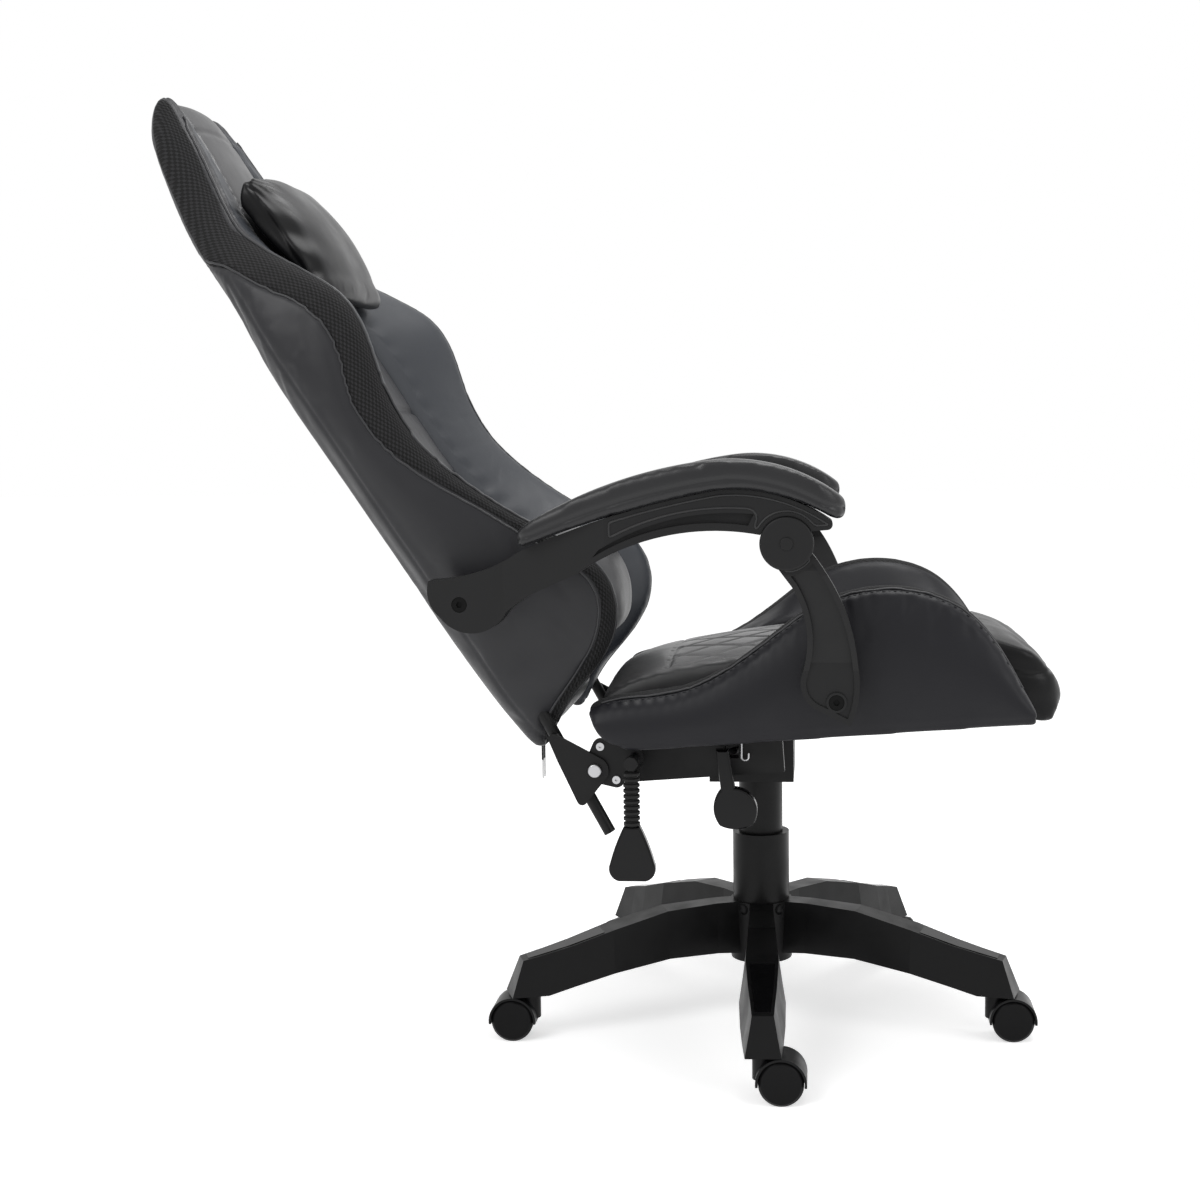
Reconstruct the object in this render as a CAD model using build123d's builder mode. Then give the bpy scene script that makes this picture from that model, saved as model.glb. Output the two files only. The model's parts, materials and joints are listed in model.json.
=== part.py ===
from build123d import *
import math
import os

os.makedirs("parts", exist_ok=True)

# A gaming chair in millimetres: +X is its front, +Y the sitter's left, +Z up.
# The origin lies on the floor, on the axis of the gas lift.

# Clearances
RUNNING_FIT = 0.05
SEAM_GAP = 0.3
PLATE_GAP = 0.4

# Casters
WHEEL_R = 25.0
WHEEL_WIDTH = 17.0
WHEEL_DISH = 2.0
WHEEL_EDGE = 3.0
WHEEL_SIDE_GAP = 0.6
AXLE_R = 3.0
WEB_HALF = 4.5
HOOD_WALL = 2.6
HOOD_CLEARANCE = 0.6
HOOD_SKIRT = 7.0
CASTER_TRAIL = 20.0
STEM_R = 5.5
STEM_SEAT = 47.0
STEM_LENGTH = 36.0
BOSS_R = 12.0
HOOD_LEG_GAP = 1.8
TRAIL_ANGLES = (0.0, 0.0, 60.0, 150.0, 180.0)

# Star base
LEG_COUNT = 5
BASE_YAW = 2.2
STEM_CIRCLE_R = 294.0
LEG_OVERHANG = 26.0
LEG_NOSE_SLANT = 14.0
HUB_R = 38.0
HUB_TOP = 148.0
HUB_BOTTOM = 74.0
SCOOP_R = 8.0
INLAY_DEPTH = 1.0
INLAY_RISE = 0.6
INLAY_RIM = 4.0
INLAY_START_R = 205.0
INLAY_END_R = 298.0

# Gas lift and its dust cover
CYLINDER_R = 25.0
CYLINDER_TOP = 270.0
PISTON_R = 14.0
PISTON_FOOT = 180.0
PISTON_TOP = 333.0
BORE_FOOT = 158.0
LOWER_COVER_R = 35.0
LOWER_COVER_TOP = 233.0
LOWER_COVER_WALL = 2.5
UPPER_COVER_R = 27.0
UPPER_COVER_FOOT = 166.0
UPPER_COVER_WALL = 1.4
COVER_LIP = 4.0
COVER_GAP = 0.5
BUTTON_R = 3.0
BUTTON_RISE = 4.0
BUTTON_LENGTH = 12.0

# Mechanism under the seat
MECHANISM_BOTTOM = 305.0
MECHANISM_REAR = -60.0
MECHANISM_FRONT = 42.0
MECHANISM_HALF = 58.0
MECHANISM_WALL = 4.0
SOCKET_R = 21.0
PLATE_HALF_LENGTH = 78.0
PLATE_HALF_WIDTH = 120.0
PLATE_THICK = 4.0
FLANGE_LENGTH = 16.0
BOLT_HALF_X = 62.0
BOLT_HALF_Y = 88.0
BOLT_R = 4.0
BOLT_HEAD_R = 7.0
BOLT_HEAD = 5.0

# Seat, in its own pitched frame: along the seat, across it, and square to it
SEAT_PITCH = 4.0
SEAT_UNDERSIDE = 385.2
SEAT_HALF = 255.0
CENTRE_HALF = 152.0
CENTRE_CROWN = 11.0
BOLSTER_BAND = 62.0
BOARD_THICK = 5.0
BOARD_REAR = -105.0
BOARD_FRONT = 262.0
BOARD_HALF = 185.0

# Seat frame
RAIL_Y = 150.0
RAIL_WIDTH = 22.0
RAIL_BOTTOM = -50.0
RAIL_REAR = -150.0
RAIL_FRONT = 30.0
CROSS_TUBE_R = 10.0
CROSS_TUBE_X = -140.0
CROSS_TUBE_Z = 350.0

# Recliner: pivot in the side view, and the plates' layers across the chair
PIVOT_X = -180.0
PIVOT_Z = 347.0
PIVOT_BOLT_R = 6.0
RECLINER_Y = 199.0
RECLINER_PLATE = 4.0
SCREW_R = 3.0
SCREW_HEAD_R = 4.6
SCREW_HEAD = 2.6

# Back, in its own frame: up the back from the pivot, across, and forward of it
BACK_ANGLE = 58.4
BACK_CENTRE_FOOT = 140.0
BACK_CENTRE_TAPER = 0.08
REAR_PANEL = 9.0
REAR_GAP = 1.2
BACK_CROWN = 7.0
HEAD_SPLIT = 690.0
POST_R = 7.0
POST_Y = 188.0
TUBE_R = 5.5
POST_V = -20.0
TUBE_SINK = 5.0
POST_TOP = 600.0
POST_KNEE = 72.0
POST_FOOT_X = -166.0
POST_FOOT_Z = 272.0
BACK_TUBE_U = (110.0, 330.0, 590.0)

# Pillows
LUMBAR_U = 190.0
LUMBAR_HALF_HEIGHT = 74.0
LUMBAR_HALF_WIDTH = 126.0
LUMBAR_THICK = 86.0
HEAD_PILLOW_U = 700.0
HEAD_PILLOW_HALF_HEIGHT = 88.0
HEAD_PILLOW_HALF_WIDTH = 126.0
HEAD_PILLOW_THICK = 64.0
PILLOW_GAP = 1.1
HEAD_PILLOW_LIFT = 15.9

# Arm linkage in the side view: rear bolt, front pivot and foot of the strut
ARM_BOLT_X = -313.0
ARM_BOLT_Z = 544.0
ARM_PIVOT_X = 40.0
ARM_PIVOT_Z = 610.0
STRUT_BOLT_X = 92.0
STRUT_BOLT_Z = 437.0
ARM_REAR_Y = 264.0
ARM_INNER_Y = 281.0
ARM_WIDTH = 40.0
ARM_REAR_WIDTH = 30.0
PAD_HALF_WIDTH = 31.0
EYE_R = 24.0
CAP_R = 28.5
CAP_THICK = 8.0
PIVOT_PIN_R = 7.0
PIVOT_PLAY = 5.6
STRUT_THICK = 15.0
STRUT_FOOT_THICK = 29.0
STRUT_SEAT_GAP = 3.0
ARM_BOLT_R = 5.0
ARM_BOLT_HEAD_R = 8.0
ARM_BOLT_HEAD = 5.0
SLOT_DEPTH = 7.0
PANEL_DEPTH = 2.5
STRUT_RIM = 6.0

# Levers
LIFT_PIVOT_Y = -32.0
LIFT_SWING = 3.5
LIFT_ROD_R = 4.0
FULCRUM_PIN_R = 1.6
LIFT_ROD_RISE = 0.12
LIFT_PADDLE_X = -36.0
LIFT_PADDLE_Y = -200.0
PADDLE_THICK = 12.0
PADDLE_EDGE = 3.0
RECLINE_LEVER_X = -135.0
RECLINE_LEVER_Y = -240.0
RECLINE_LEVER_Z = 362.0
LEVER_AXLE_R = 5.0
LEVER_HUB_R = 7.5
LEVER_ROD_R = 4.0
SLEEVE_TOP = 353.0
SLEEVE_BOTTOM = 291.0
SLEEVE_R = 9.2
SLEEVE_GROOVE = 2.0
SLEEVE_RIBS = 10
PADDLE_BOTTOM = 229.0

# Small trim
ZIP_WIDTH = 6.0
ZIP_THICK = 2.0
ZIP_LENGTH = 56.0
ZIP_Y = (-104.0, -92.0)
HOOK_WIRE_R = 1.2
HOOK_X = -16.0
HOOK_Y = -170.0
HOOK_DROP = 22.0
HOOK_BEND = 4.0


def write(piece, name):
    """Label a finished piece and write it as its own file."""
    piece.label = name
    export_step(piece, f"parts/{name}.step")


def rod(start, end, radius, mode=Mode.ADD):
    """A round bar between two points, in the part being built."""
    axis = Vector(*end) - Vector(*start)
    with Locations(Plane(origin=start, z_dir=axis)):
        Cylinder(radius, axis.length, align=(Align.CENTER, Align.CENTER, Align.MIN), mode=mode)


def turned(points):
    """A body of revolution about the lift axis, from its outline in radius and height."""
    with BuildPart() as body:
        with BuildSketch(Plane.XZ):
            with BuildLine():
                Polyline(*points, close=True)
            make_face()
        revolve(axis=Axis.Z)
    return body.part


def mirrored(piece):
    """The same piece on the other side of the chair."""
    with BuildPart() as other:
        mirror(piece, about=Plane.XZ)
    return other.part


def between(stations, place, column):
    """A value of the station table at a place between two stations."""
    for low, high in zip(stations, stations[1:]):
        if place <= high[0]:
            share = (place - low[0]) / (high[0] - low[0])
            return low[column] + share * (high[column] - low[column])
    return stations[-1][column]


# Casters: every caster is the same, turned about its own stem
axle_height = WHEEL_R
hood_inner_r = WHEEL_R + HOOD_CLEARANCE
hood_r = hood_inner_r + HOOD_WALL
hood_half = WEB_HALF + WHEEL_SIDE_GAP + WHEEL_WIDTH
leg_floor = axle_height + hood_r + HOOD_LEG_GAP
wheel_inner = WEB_HALF + WHEEL_SIDE_GAP
axle_plane = Plane(origin=(CASTER_TRAIL, 0, axle_height), x_dir=(1, 0, 0), z_dir=(0, -1, 0))

with BuildPart() as hood:
    with BuildSketch(axle_plane):
        Circle(hood_r)
        with Locations((0, -hood_r)):
            Rectangle(2 * hood_r, 2 * (hood_r - HOOD_SKIRT / 2), mode=Mode.SUBTRACT)
    extrude(amount=hood_half, both=True)
    with Locations((0, 0, axle_height)):
        Cylinder(BOSS_R, leg_floor - SEAM_GAP - axle_height, align=(Align.CENTER, Align.CENTER, Align.MIN))
    with BuildSketch(axle_plane):
        Circle(AXLE_R + HOOD_WALL + WEB_HALF)
    extrude(amount=WEB_HALF, both=True)
    with BuildSketch(axle_plane.offset(WEB_HALF), axle_plane.offset(-WEB_HALF - 2 * hood_half)):
        Circle(hood_inner_r)
    extrude(amount=2 * hood_half, mode=Mode.SUBTRACT)
    with BuildSketch(axle_plane):
        Circle(AXLE_R + RUNNING_FIT)
    extrude(amount=hood_half, both=True, mode=Mode.SUBTRACT)
    with Locations((0, 0, STEM_SEAT)):
        Cylinder(STEM_R, STEM_LENGTH, align=(Align.CENTER, Align.CENTER, Align.MIN), mode=Mode.SUBTRACT)

with BuildPart() as stem:
    with Locations((0, 0, STEM_SEAT)):
        Cylinder(STEM_R, STEM_LENGTH, align=(Align.CENTER, Align.CENTER, Align.MIN))
    chamfer(stem.edges().group_by(Axis.Z)[-1], STEM_R / 5)

with BuildPart() as wheel:
    with BuildSketch(Plane.XY):
        with BuildLine():
            Polyline(
                (AXLE_R, wheel_inner),
                (WHEEL_R, wheel_inner),
                (WHEEL_R, hood_half - WHEEL_EDGE),
                (WHEEL_R - WHEEL_EDGE, hood_half),
                (AXLE_R + WHEEL_EDGE, hood_half - WHEEL_DISH),
                (AXLE_R, hood_half - WHEEL_DISH),
                close=True,
            )
        make_face()
    revolve(axis=Axis.Y)

with BuildPart() as axle:
    with BuildSketch(Plane.XZ):
        Circle(AXLE_R)
    extrude(amount=hood_half - WHEEL_DISH, both=True)

leg_angles = [-90 + BASE_YAW + k * 360 / LEG_COUNT for k in range(LEG_COUNT)]
stem_places = [
    (STEM_CIRCLE_R * math.cos(math.radians(a)), STEM_CIRCLE_R * math.sin(math.radians(a)))
    for a in leg_angles
]

for number in range(LEG_COUNT):
    x, y = stem_places[number]
    place = Location((x, y, 0), (0, 0, TRAIL_ANGLES[number]))
    trail = math.radians(TRAIL_ANGLES[number])
    axle_spot = (x + CASTER_TRAIL * math.cos(trail), y + CASTER_TRAIL * math.sin(trail), axle_height)
    with BuildPart() as caster_hood:
        with Locations(place):
            add(hood.part)
    write(caster_hood.part, f"caster_hood_{number + 1}")
    with BuildPart() as caster_stem:
        with Locations(place):
            add(stem.part)
    write(caster_stem.part, f"caster_stem_{number + 1}")
    spot = Location(axle_spot, (0, 0, TRAIL_ANGLES[number]))
    flipped = Location(axle_spot, (0, 0, TRAIL_ANGLES[number] + 180))
    group = [wheel.part.moved(spot), wheel.part.moved(flipped), axle.part.moved(spot)]
    write(Compound(children=group), f"caster_wheels_{number + 1}")

# Star base: distance from the axis, half widths at the top and foot, heights of foot and top
leg_tip_r = STEM_CIRCLE_R + LEG_OVERHANG
leg_stations = (
    (0.0, 15.0, 19.0, leg_floor + 27.0, HUB_TOP),
    (62.0, 14.0, 18.0, leg_floor + 31.0, HUB_TOP),
    (125.0, 16.0, 22.0, leg_floor + 31.0, HUB_TOP - 4.0),
    (195.0, 19.0, 27.0, leg_floor + 21.0, HUB_TOP - 21.0),
    (244.0, 16.5, 25.5, leg_floor + 9.0, HUB_TOP - 36.0),
    (276.0, 14.0, 23.0, leg_floor, HUB_TOP - 44.0),
    (leg_tip_r, 11.0, 20.0, leg_floor, HUB_TOP - 54.0),
)


def across(distance):
    """A section plane of the leg that points along +X, with its own x across the leg."""
    return Plane(origin=(distance, 0, 0), x_dir=(0, 1, 0), z_dir=(1, 0, 0))


with BuildPart() as inlay:
    for distance in (INLAY_START_R, (INLAY_START_R + INLAY_END_R) / 2, INLAY_END_R):
        half = between(leg_stations, distance, 1) - INLAY_RIM
        top = between(leg_stations, distance, 4)
        with BuildSketch(across(distance)):
            with Locations((0, top + (INLAY_RISE - INLAY_DEPTH) / 2)):
                Rectangle(2 * half, INLAY_DEPTH + INLAY_RISE)
    loft(ruled=True)

with BuildPart() as leg:
    for distance, half_top, half_foot, foot, top in leg_stations:
        with BuildSketch(across(distance)):
            with BuildLine():
                Polyline((-half_foot, foot), (half_foot, foot), (half_top, top), (-half_top, top), close=True)
            make_face()
    loft(ruled=True)
    nose_foot = Vector(leg_tip_r, 0, leg_floor)
    nose_top = Vector(leg_tip_r - LEG_NOSE_SLANT, 0, leg_stations[-1][4])
    split(bisect_by=Plane(origin=nose_foot, x_dir=(0, 1, 0), z_dir=(nose_top - nose_foot).cross(Vector(0, 1, 0))),
          keep=Keep.TOP)
    add(inlay.part, mode=Mode.SUBTRACT)
    with Locations((STEM_CIRCLE_R, 0, 0)):
        Cylinder(STEM_R + RUNNING_FIT, STEM_SEAT + STEM_LENGTH + SEAM_GAP,
                 align=(Align.CENTER, Align.CENTER, Align.MIN), mode=Mode.SUBTRACT)

with BuildPart() as star_base:
    with Locations((0, 0, HUB_BOTTOM)):
        Cylinder(HUB_R, HUB_TOP - HUB_BOTTOM, align=(Align.CENTER, Align.CENTER, Align.MIN))
    with Locations(Rotation(0, 0, -90 + BASE_YAW)):
        with PolarLocations(0, LEG_COUNT):
            add(leg.part)
    with Locations((0, 0, HUB_TOP - SCOOP_R)):
        with PolarLocations(HUB_R + SCOOP_R / 2, LEG_COUNT, start_angle=-90 + BASE_YAW + 180 / LEG_COUNT):
            Sphere(SCOOP_R, mode=Mode.SUBTRACT)
    Cylinder(CYLINDER_R, HUB_TOP, align=(Align.CENTER, Align.CENTER, Align.MIN), mode=Mode.SUBTRACT)
write(star_base.part, "star_base")

with BuildPart() as leg_inlays:
    with Locations(Rotation(0, 0, -90 + BASE_YAW)):
        with PolarLocations(0, LEG_COUNT):
            add(inlay.part)
write(leg_inlays.part, "leg_inlays")

# Gas lift
gas_cylinder = turned([
    (0, HUB_BOTTOM), (CYLINDER_R, HUB_BOTTOM), (CYLINDER_R, CYLINDER_TOP),
    (PISTON_R + RUNNING_FIT, CYLINDER_TOP), (PISTON_R + RUNNING_FIT, BORE_FOOT), (0, BORE_FOOT),
])
write(gas_cylinder, "gas_cylinder")

lower_inner = LOWER_COVER_R - LOWER_COVER_WALL
dust_cover_lower = turned([
    (lower_inner, HUB_TOP), (LOWER_COVER_R, HUB_TOP), (LOWER_COVER_R, LOWER_COVER_TOP),
    (UPPER_COVER_R + COVER_GAP, LOWER_COVER_TOP), (UPPER_COVER_R + COVER_GAP, LOWER_COVER_TOP - COVER_LIP),
    (lower_inner, LOWER_COVER_TOP - COVER_LIP),
])
write(dust_cover_lower, "dust_cover_lower")

cover_top = MECHANISM_BOTTOM - PLATE_GAP
upper_inner = UPPER_COVER_R - UPPER_COVER_WALL
dust_cover_upper = turned([
    (upper_inner, UPPER_COVER_FOOT), (UPPER_COVER_R, UPPER_COVER_FOOT), (UPPER_COVER_R, cover_top),
    (PISTON_R, cover_top), (PISTON_R, cover_top - COVER_LIP), (upper_inner, cover_top - COVER_LIP),
])
write(dust_cover_upper, "dust_cover_upper")

button_top = PISTON_TOP + BUTTON_RISE
button_foot = button_top - BUTTON_LENGTH
gas_piston = turned([
    (0, PISTON_FOOT), (PISTON_R, PISTON_FOOT), (PISTON_R, PISTON_TOP), (BUTTON_R + RUNNING_FIT, PISTON_TOP),
    (BUTTON_R + RUNNING_FIT, button_foot - BUTTON_RISE), (0, button_foot - BUTTON_RISE),
])
write(gas_piston, "gas_piston")

release_button = turned([(0, button_foot), (BUTTON_R, button_foot), (BUTTON_R, button_top), (0, button_top)])
write(release_button, "release_button")

# Seat frame of reference
pitch = math.radians(SEAT_PITCH)
along = Vector(math.cos(pitch), 0, math.sin(pitch))
square = Vector(-math.sin(pitch), 0, math.cos(pitch))


def seat_point(s, y, n):
    """A point given along the seat, across it and square to its underside."""
    return Vector(0, y, SEAT_UNDERSIDE) + along * s + square * n


def seat_section(s):
    """The plane across the seat at a place along it."""
    return Plane(origin=seat_point(s, 0, 0), x_dir=(0, 1, 0), z_dir=along)


seat_side = Plane(origin=seat_point(0, 0, 0), x_dir=along, z_dir=(0, -1, 0))


def seat_layer(n):
    """The plane parallel to the seat's underside at a height over it."""
    return Plane(origin=seat_point(0, 0, n), x_dir=along, z_dir=square)


board_top = -SEAM_GAP
board_foot = board_top - BOARD_THICK
plate_foot = board_foot - PLATE_THICK

with BuildPart() as seat_board:
    with BuildSketch(seat_layer(board_foot)):
        with Locations(((BOARD_REAR + BOARD_FRONT) / 2, 0)):
            RectangleRounded(BOARD_FRONT - BOARD_REAR, 2 * BOARD_HALF, 4 * BOARD_THICK)
    extrude(amount=BOARD_THICK)
    with BuildSketch(seat_layer(board_foot)):
        with GridLocations(2 * BOLT_HALF_X, 2 * BOLT_HALF_Y, 2, 2):
            Circle(BOLT_R)
    extrude(amount=BOARD_THICK, mode=Mode.SUBTRACT)
write(seat_board.part, "seat_board")

# Where the lift lever's rod runs: over the button, out through the side wall to its paddle
rod_inner_y = BUTTON_R - 1.0
rod_inner_z = button_top + LIFT_ROD_R * math.hypot(1, LIFT_ROD_RISE) + PLATE_GAP
rod_outer_z = rod_inner_z + (rod_inner_y - LIFT_PADDLE_Y) * LIFT_ROD_RISE
rod_start = (0, rod_inner_y, rod_inner_z)
rod_end = (LIFT_PADDLE_X, LIFT_PADDLE_Y, rod_outer_z)
wall_share = (rod_inner_y + MECHANISM_HALF) / (rod_inner_y - LIFT_PADDLE_Y)
wall_x = LIFT_PADDLE_X * wall_share
wall_z = rod_inner_z + (rod_outer_z - rod_inner_z) * wall_share


def rod_place(y):
    """The middle of the lift lever's rod at a place across the chair."""
    return Vector(*rod_start) + (Vector(*rod_end) - Vector(*rod_start)) * (
        (rod_inner_y - y) / (rod_inner_y - LIFT_PADDLE_Y))


fulcrum = rod_place(LIFT_PIVOT_Y)
fulcrum_width = 4 * LIFT_ROD_R
fulcrum_pin = ((fulcrum.X - fulcrum_width / 2, fulcrum.Y, fulcrum.Z),
               (fulcrum.X + fulcrum_width / 2, fulcrum.Y, fulcrum.Z))
rod_sway = SEAM_GAP + 2 * MECHANISM_WALL * math.tan(math.radians(LIFT_SWING))

with BuildPart() as lift_mechanism:
    middle_x = (MECHANISM_REAR + MECHANISM_FRONT) / 2
    length_x = MECHANISM_FRONT - MECHANISM_REAR
    height = SEAT_UNDERSIDE - MECHANISM_BOTTOM
    with Locations((middle_x, 0, MECHANISM_BOTTOM)):
        Box(length_x, 2 * MECHANISM_HALF, height, align=(Align.CENTER, Align.CENTER, Align.MIN))
    with Locations((middle_x, 0, MECHANISM_BOTTOM + MECHANISM_WALL)):
        Box(length_x - 2 * MECHANISM_WALL, 2 * (MECHANISM_HALF - MECHANISM_WALL), height,
            align=(Align.CENTER, Align.CENTER, Align.MIN), mode=Mode.SUBTRACT)
    split(bisect_by=seat_layer(plate_foot), keep=Keep.BOTTOM)
    with Locations((0, 0, MECHANISM_BOTTOM)):
        Cylinder(SOCKET_R, PISTON_TOP - MECHANISM_BOTTOM - PLATE_GAP,
                 align=(Align.CENTER, Align.CENTER, Align.MIN))
        Cylinder(PISTON_R + RUNNING_FIT, PISTON_TOP - MECHANISM_BOTTOM + PLATE_GAP,
                 align=(Align.CENTER, Align.CENTER, Align.MIN), mode=Mode.SUBTRACT)
    with BuildSketch(seat_layer(plate_foot)):
        Rectangle(2 * PLATE_HALF_LENGTH, 2 * PLATE_HALF_WIDTH)
    extrude(amount=PLATE_THICK)
    with BuildSketch(Plane.XZ.offset(-MECHANISM_HALF)):
        with BuildLine():
            flange_top = seat_point(MECHANISM_FRONT, 0, plate_foot).Z
            Polyline((MECHANISM_FRONT, flange_top), (MECHANISM_FRONT, flange_top - FLANGE_LENGTH),
                     (MECHANISM_FRONT + FLANGE_LENGTH, flange_top), close=True)
        make_face()
    extrude(amount=2 * MECHANISM_HALF)
    with BuildSketch(seat_layer(plate_foot)):
        with GridLocations(2 * BOLT_HALF_X, 2 * BOLT_HALF_Y, 2, 2):
            Circle(BOLT_R)
    extrude(amount=PLATE_THICK, mode=Mode.SUBTRACT)
    with Locations((wall_x, -MECHANISM_HALF, wall_z + LIFT_ROD_R / 2)):
        Box(5 * LIFT_ROD_R, 3 * MECHANISM_WALL, 4 * LIFT_ROD_R, mode=Mode.SUBTRACT)
    with Locations((fulcrum.X, fulcrum.Y, MECHANISM_BOTTOM)):
        Box(fulcrum_width, 2 * MECHANISM_WALL, fulcrum.Z - MECHANISM_BOTTOM + 2 * FULCRUM_PIN_R,
            align=(Align.CENTER, Align.CENTER, Align.MIN))
    rod(rod_start, rod_end, LIFT_ROD_R + rod_sway, Mode.SUBTRACT)
    rod(*fulcrum_pin, FULCRUM_PIN_R + RUNNING_FIT, Mode.SUBTRACT)
write(lift_mechanism.part, "lift_mechanism")

with BuildPart() as mechanism_bolts:
    with BuildSketch(seat_layer(plate_foot)):
        with GridLocations(2 * BOLT_HALF_X, 2 * BOLT_HALF_Y, 2, 2):
            Circle(BOLT_R)
    extrude(amount=PLATE_THICK + BOARD_THICK)
    with BuildSketch(seat_layer(plate_foot)):
        with GridLocations(2 * BOLT_HALF_X, 2 * BOLT_HALF_Y, 2, 2):
            RegularPolygon(BOLT_HEAD_R, 6)
    extrude(amount=-BOLT_HEAD)
write(mechanism_bolts.part, "mechanism_bolts")

with BuildPart() as seat_frame:
    with BuildSketch(seat_layer(RAIL_BOTTOM)):
        with Locations(((RAIL_REAR + RAIL_FRONT) / 2, RAIL_Y), ((RAIL_REAR + RAIL_FRONT) / 2, -RAIL_Y)):
            Rectangle(RAIL_FRONT - RAIL_REAR, RAIL_WIDTH)
    extrude(amount=board_foot - RAIL_BOTTOM)
    rod((CROSS_TUBE_X, -RECLINER_Y, CROSS_TUBE_Z), (CROSS_TUBE_X, RECLINER_Y, CROSS_TUBE_Z), CROSS_TUBE_R)
    crossing = rod_place(-RAIL_Y)
    swing = (RAIL_Y + RAIL_WIDTH + LIFT_PIVOT_Y) * math.sin(math.radians(LIFT_SWING))
    slot_foot = crossing.Z - 1.6 * LIFT_ROD_R
    with Locations((crossing.X, crossing.Y, slot_foot)):
        Box(4 * LIFT_ROD_R, 2 * RAIL_WIDTH, swing + 3.2 * LIFT_ROD_R,
            align=(Align.CENTER, Align.CENTER, Align.MIN), mode=Mode.SUBTRACT)
write(seat_frame.part, "seat_frame")

# Seat bolster: place along the seat, height of its crest
bolster_stations = (
    (-180.0, 52.0),
    (-148.0, 60.0),
    (-112.0, 61.0),
    (-65.0, 67.0),
    (-14.0, 89.0),
    (30.0, 117.0),
    (75.0, 145.0),
    (120.0, 159.0),
    (165.0, 161.0),
    (205.0, 152.0),
    (240.0, 133.0),
    (272.0, 96.0),
    (296.0, 48.0),
    (312.0, 14.0),
)
bolster_inner = CENTRE_HALF + SEAM_GAP
inner_level = 94.0
bolster_rear = bolster_stations[0][0]
bolster_front = bolster_stations[-1][0]
loft_foot = -40.0
over_all = 2 * SEAT_HALF

with BuildPart() as seat_bolster_right:
    for s, crest in bolster_stations:
        soft = min(1.0, crest / 60.0)
        inner_top = min(0.88 * crest, inner_level)
        draw_in = 6.0 * soft
        with BuildSketch(seat_section(s)):
            with BuildLine():
                Polyline((-bolster_inner, inner_top), (-bolster_inner, loft_foot),
                         (-SEAT_HALF + draw_in, loft_foot), (-SEAT_HALF + draw_in, 0))
                ThreePointArc((-SEAT_HALF + draw_in, 0), (-SEAT_HALF, 0.5 * crest),
                              (-SEAT_HALF + 1.5 * draw_in, crest - 1.5 * draw_in))
                ThreePointArc((-SEAT_HALF + 1.5 * draw_in, crest - 1.5 * draw_in),
                              (-SEAT_HALF + BOLSTER_BAND / 2, crest),
                              (-SEAT_HALF + BOLSTER_BAND, crest - draw_in))
                Line((-SEAT_HALF + BOLSTER_BAND, crest - draw_in), (-bolster_inner, inner_top))
            make_face()
    loft()
    with BuildSketch(seat_side):
        with BuildLine():
            ThreePointArc((bolster_rear, 52), (bolster_rear + 12, 20), (bolster_rear + 50, 0))
            Polyline((bolster_rear + 50, 0), (bolster_front, 0), (bolster_front, SEAT_HALF), (bolster_rear, SEAT_HALF),
                     (bolster_rear, 52))
        make_face()
    extrude(amount=over_all, both=True, mode=Mode.INTERSECT)
    rod((STRUT_BOLT_X, -SEAT_HALF - STRUT_SEAT_GAP, STRUT_BOLT_Z),
        (STRUT_BOLT_X, -SEAT_HALF + STRUT_FOOT_THICK, STRUT_BOLT_Z), ARM_BOLT_R + SEAM_GAP, Mode.SUBTRACT)
write(seat_bolster_right.part, "seat_bolster_right")
seat_bolster_left = mirrored(seat_bolster_right.part)
write(seat_bolster_left, "seat_bolster_left")

# Seat centre: place along the seat, height of its crown
centre_stations = (
    (-174.0, 62.0),
    (-145.0, 76.0),
    (-101.0, 86.0),
    (-51.0, 92.0),
    (17.0, 97.0),
    (120.0, 101.0),
    (220.0, 101.0),
    (288.0, 97.0),
    (325.0, 92.0),
    (360.0, 86.0),
)
seat_rear = centre_stations[0][0]
lip_front = 357.0
lip_corner = 38.0

with BuildPart() as seat_centre_pad:
    for s, crown in centre_stations:
        with BuildSketch(seat_section(s)):
            with BuildLine():
                side = crown - CENTRE_CROWN
                Polyline((CENTRE_HALF, side), (CENTRE_HALF, loft_foot), (-CENTRE_HALF, loft_foot),
                         (-CENTRE_HALF, side))
                ThreePointArc((-CENTRE_HALF, side), (0, crown), (CENTRE_HALF, side))
            make_face()
    loft()
    with BuildSketch(seat_side):
        with BuildLine():
            ThreePointArc((seat_rear, 52), (seat_rear + 12, 20), (seat_rear + 50, 0))
            Line((seat_rear + 50, 0), (lip_front - 72, 0))
            ThreePointArc((lip_front - 72, 0), (lip_front - 42, -11), (lip_front - 20, -17))
            ThreePointArc((lip_front - 20, -17), (lip_front - 2, 14), (lip_front - 5, 48))
            ThreePointArc((lip_front - 5, 48), (lip_front - 19, 73), (lip_front - 57, 93))
            Polyline((lip_front - 57, 93), (lip_front - 57, SEAT_HALF), (seat_rear, SEAT_HALF), (seat_rear, 52))
        make_face()
    extrude(amount=over_all, both=True, mode=Mode.INTERSECT)
    with BuildSketch(seat_layer(2 * loft_foot)) as plan:
        with Locations(((seat_rear + lip_front) / 2, 0)):
            Rectangle(lip_front - seat_rear, 2 * CENTRE_HALF)
        fillet(plan.vertices().group_by(Axis.X)[-1], lip_corner)
    extrude(amount=over_all, mode=Mode.INTERSECT)
write(seat_centre_pad.part, "seat_centre_pad")

# Recliner plates, one layer beside the other on each side
pivot = (PIVOT_X, PIVOT_Z)
upper_screw = (PIVOT_X + 6.0, PIVOT_Z + 27.0)
lower_screw = (PIVOT_X + 24.0, PIVOT_Z - 11.0)
seat_plate_outer = RECLINER_Y + RECLINER_PLATE
back_plate_inner = seat_plate_outer + PLATE_GAP
back_plate_outer = back_plate_inner + RECLINER_PLATE

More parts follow.
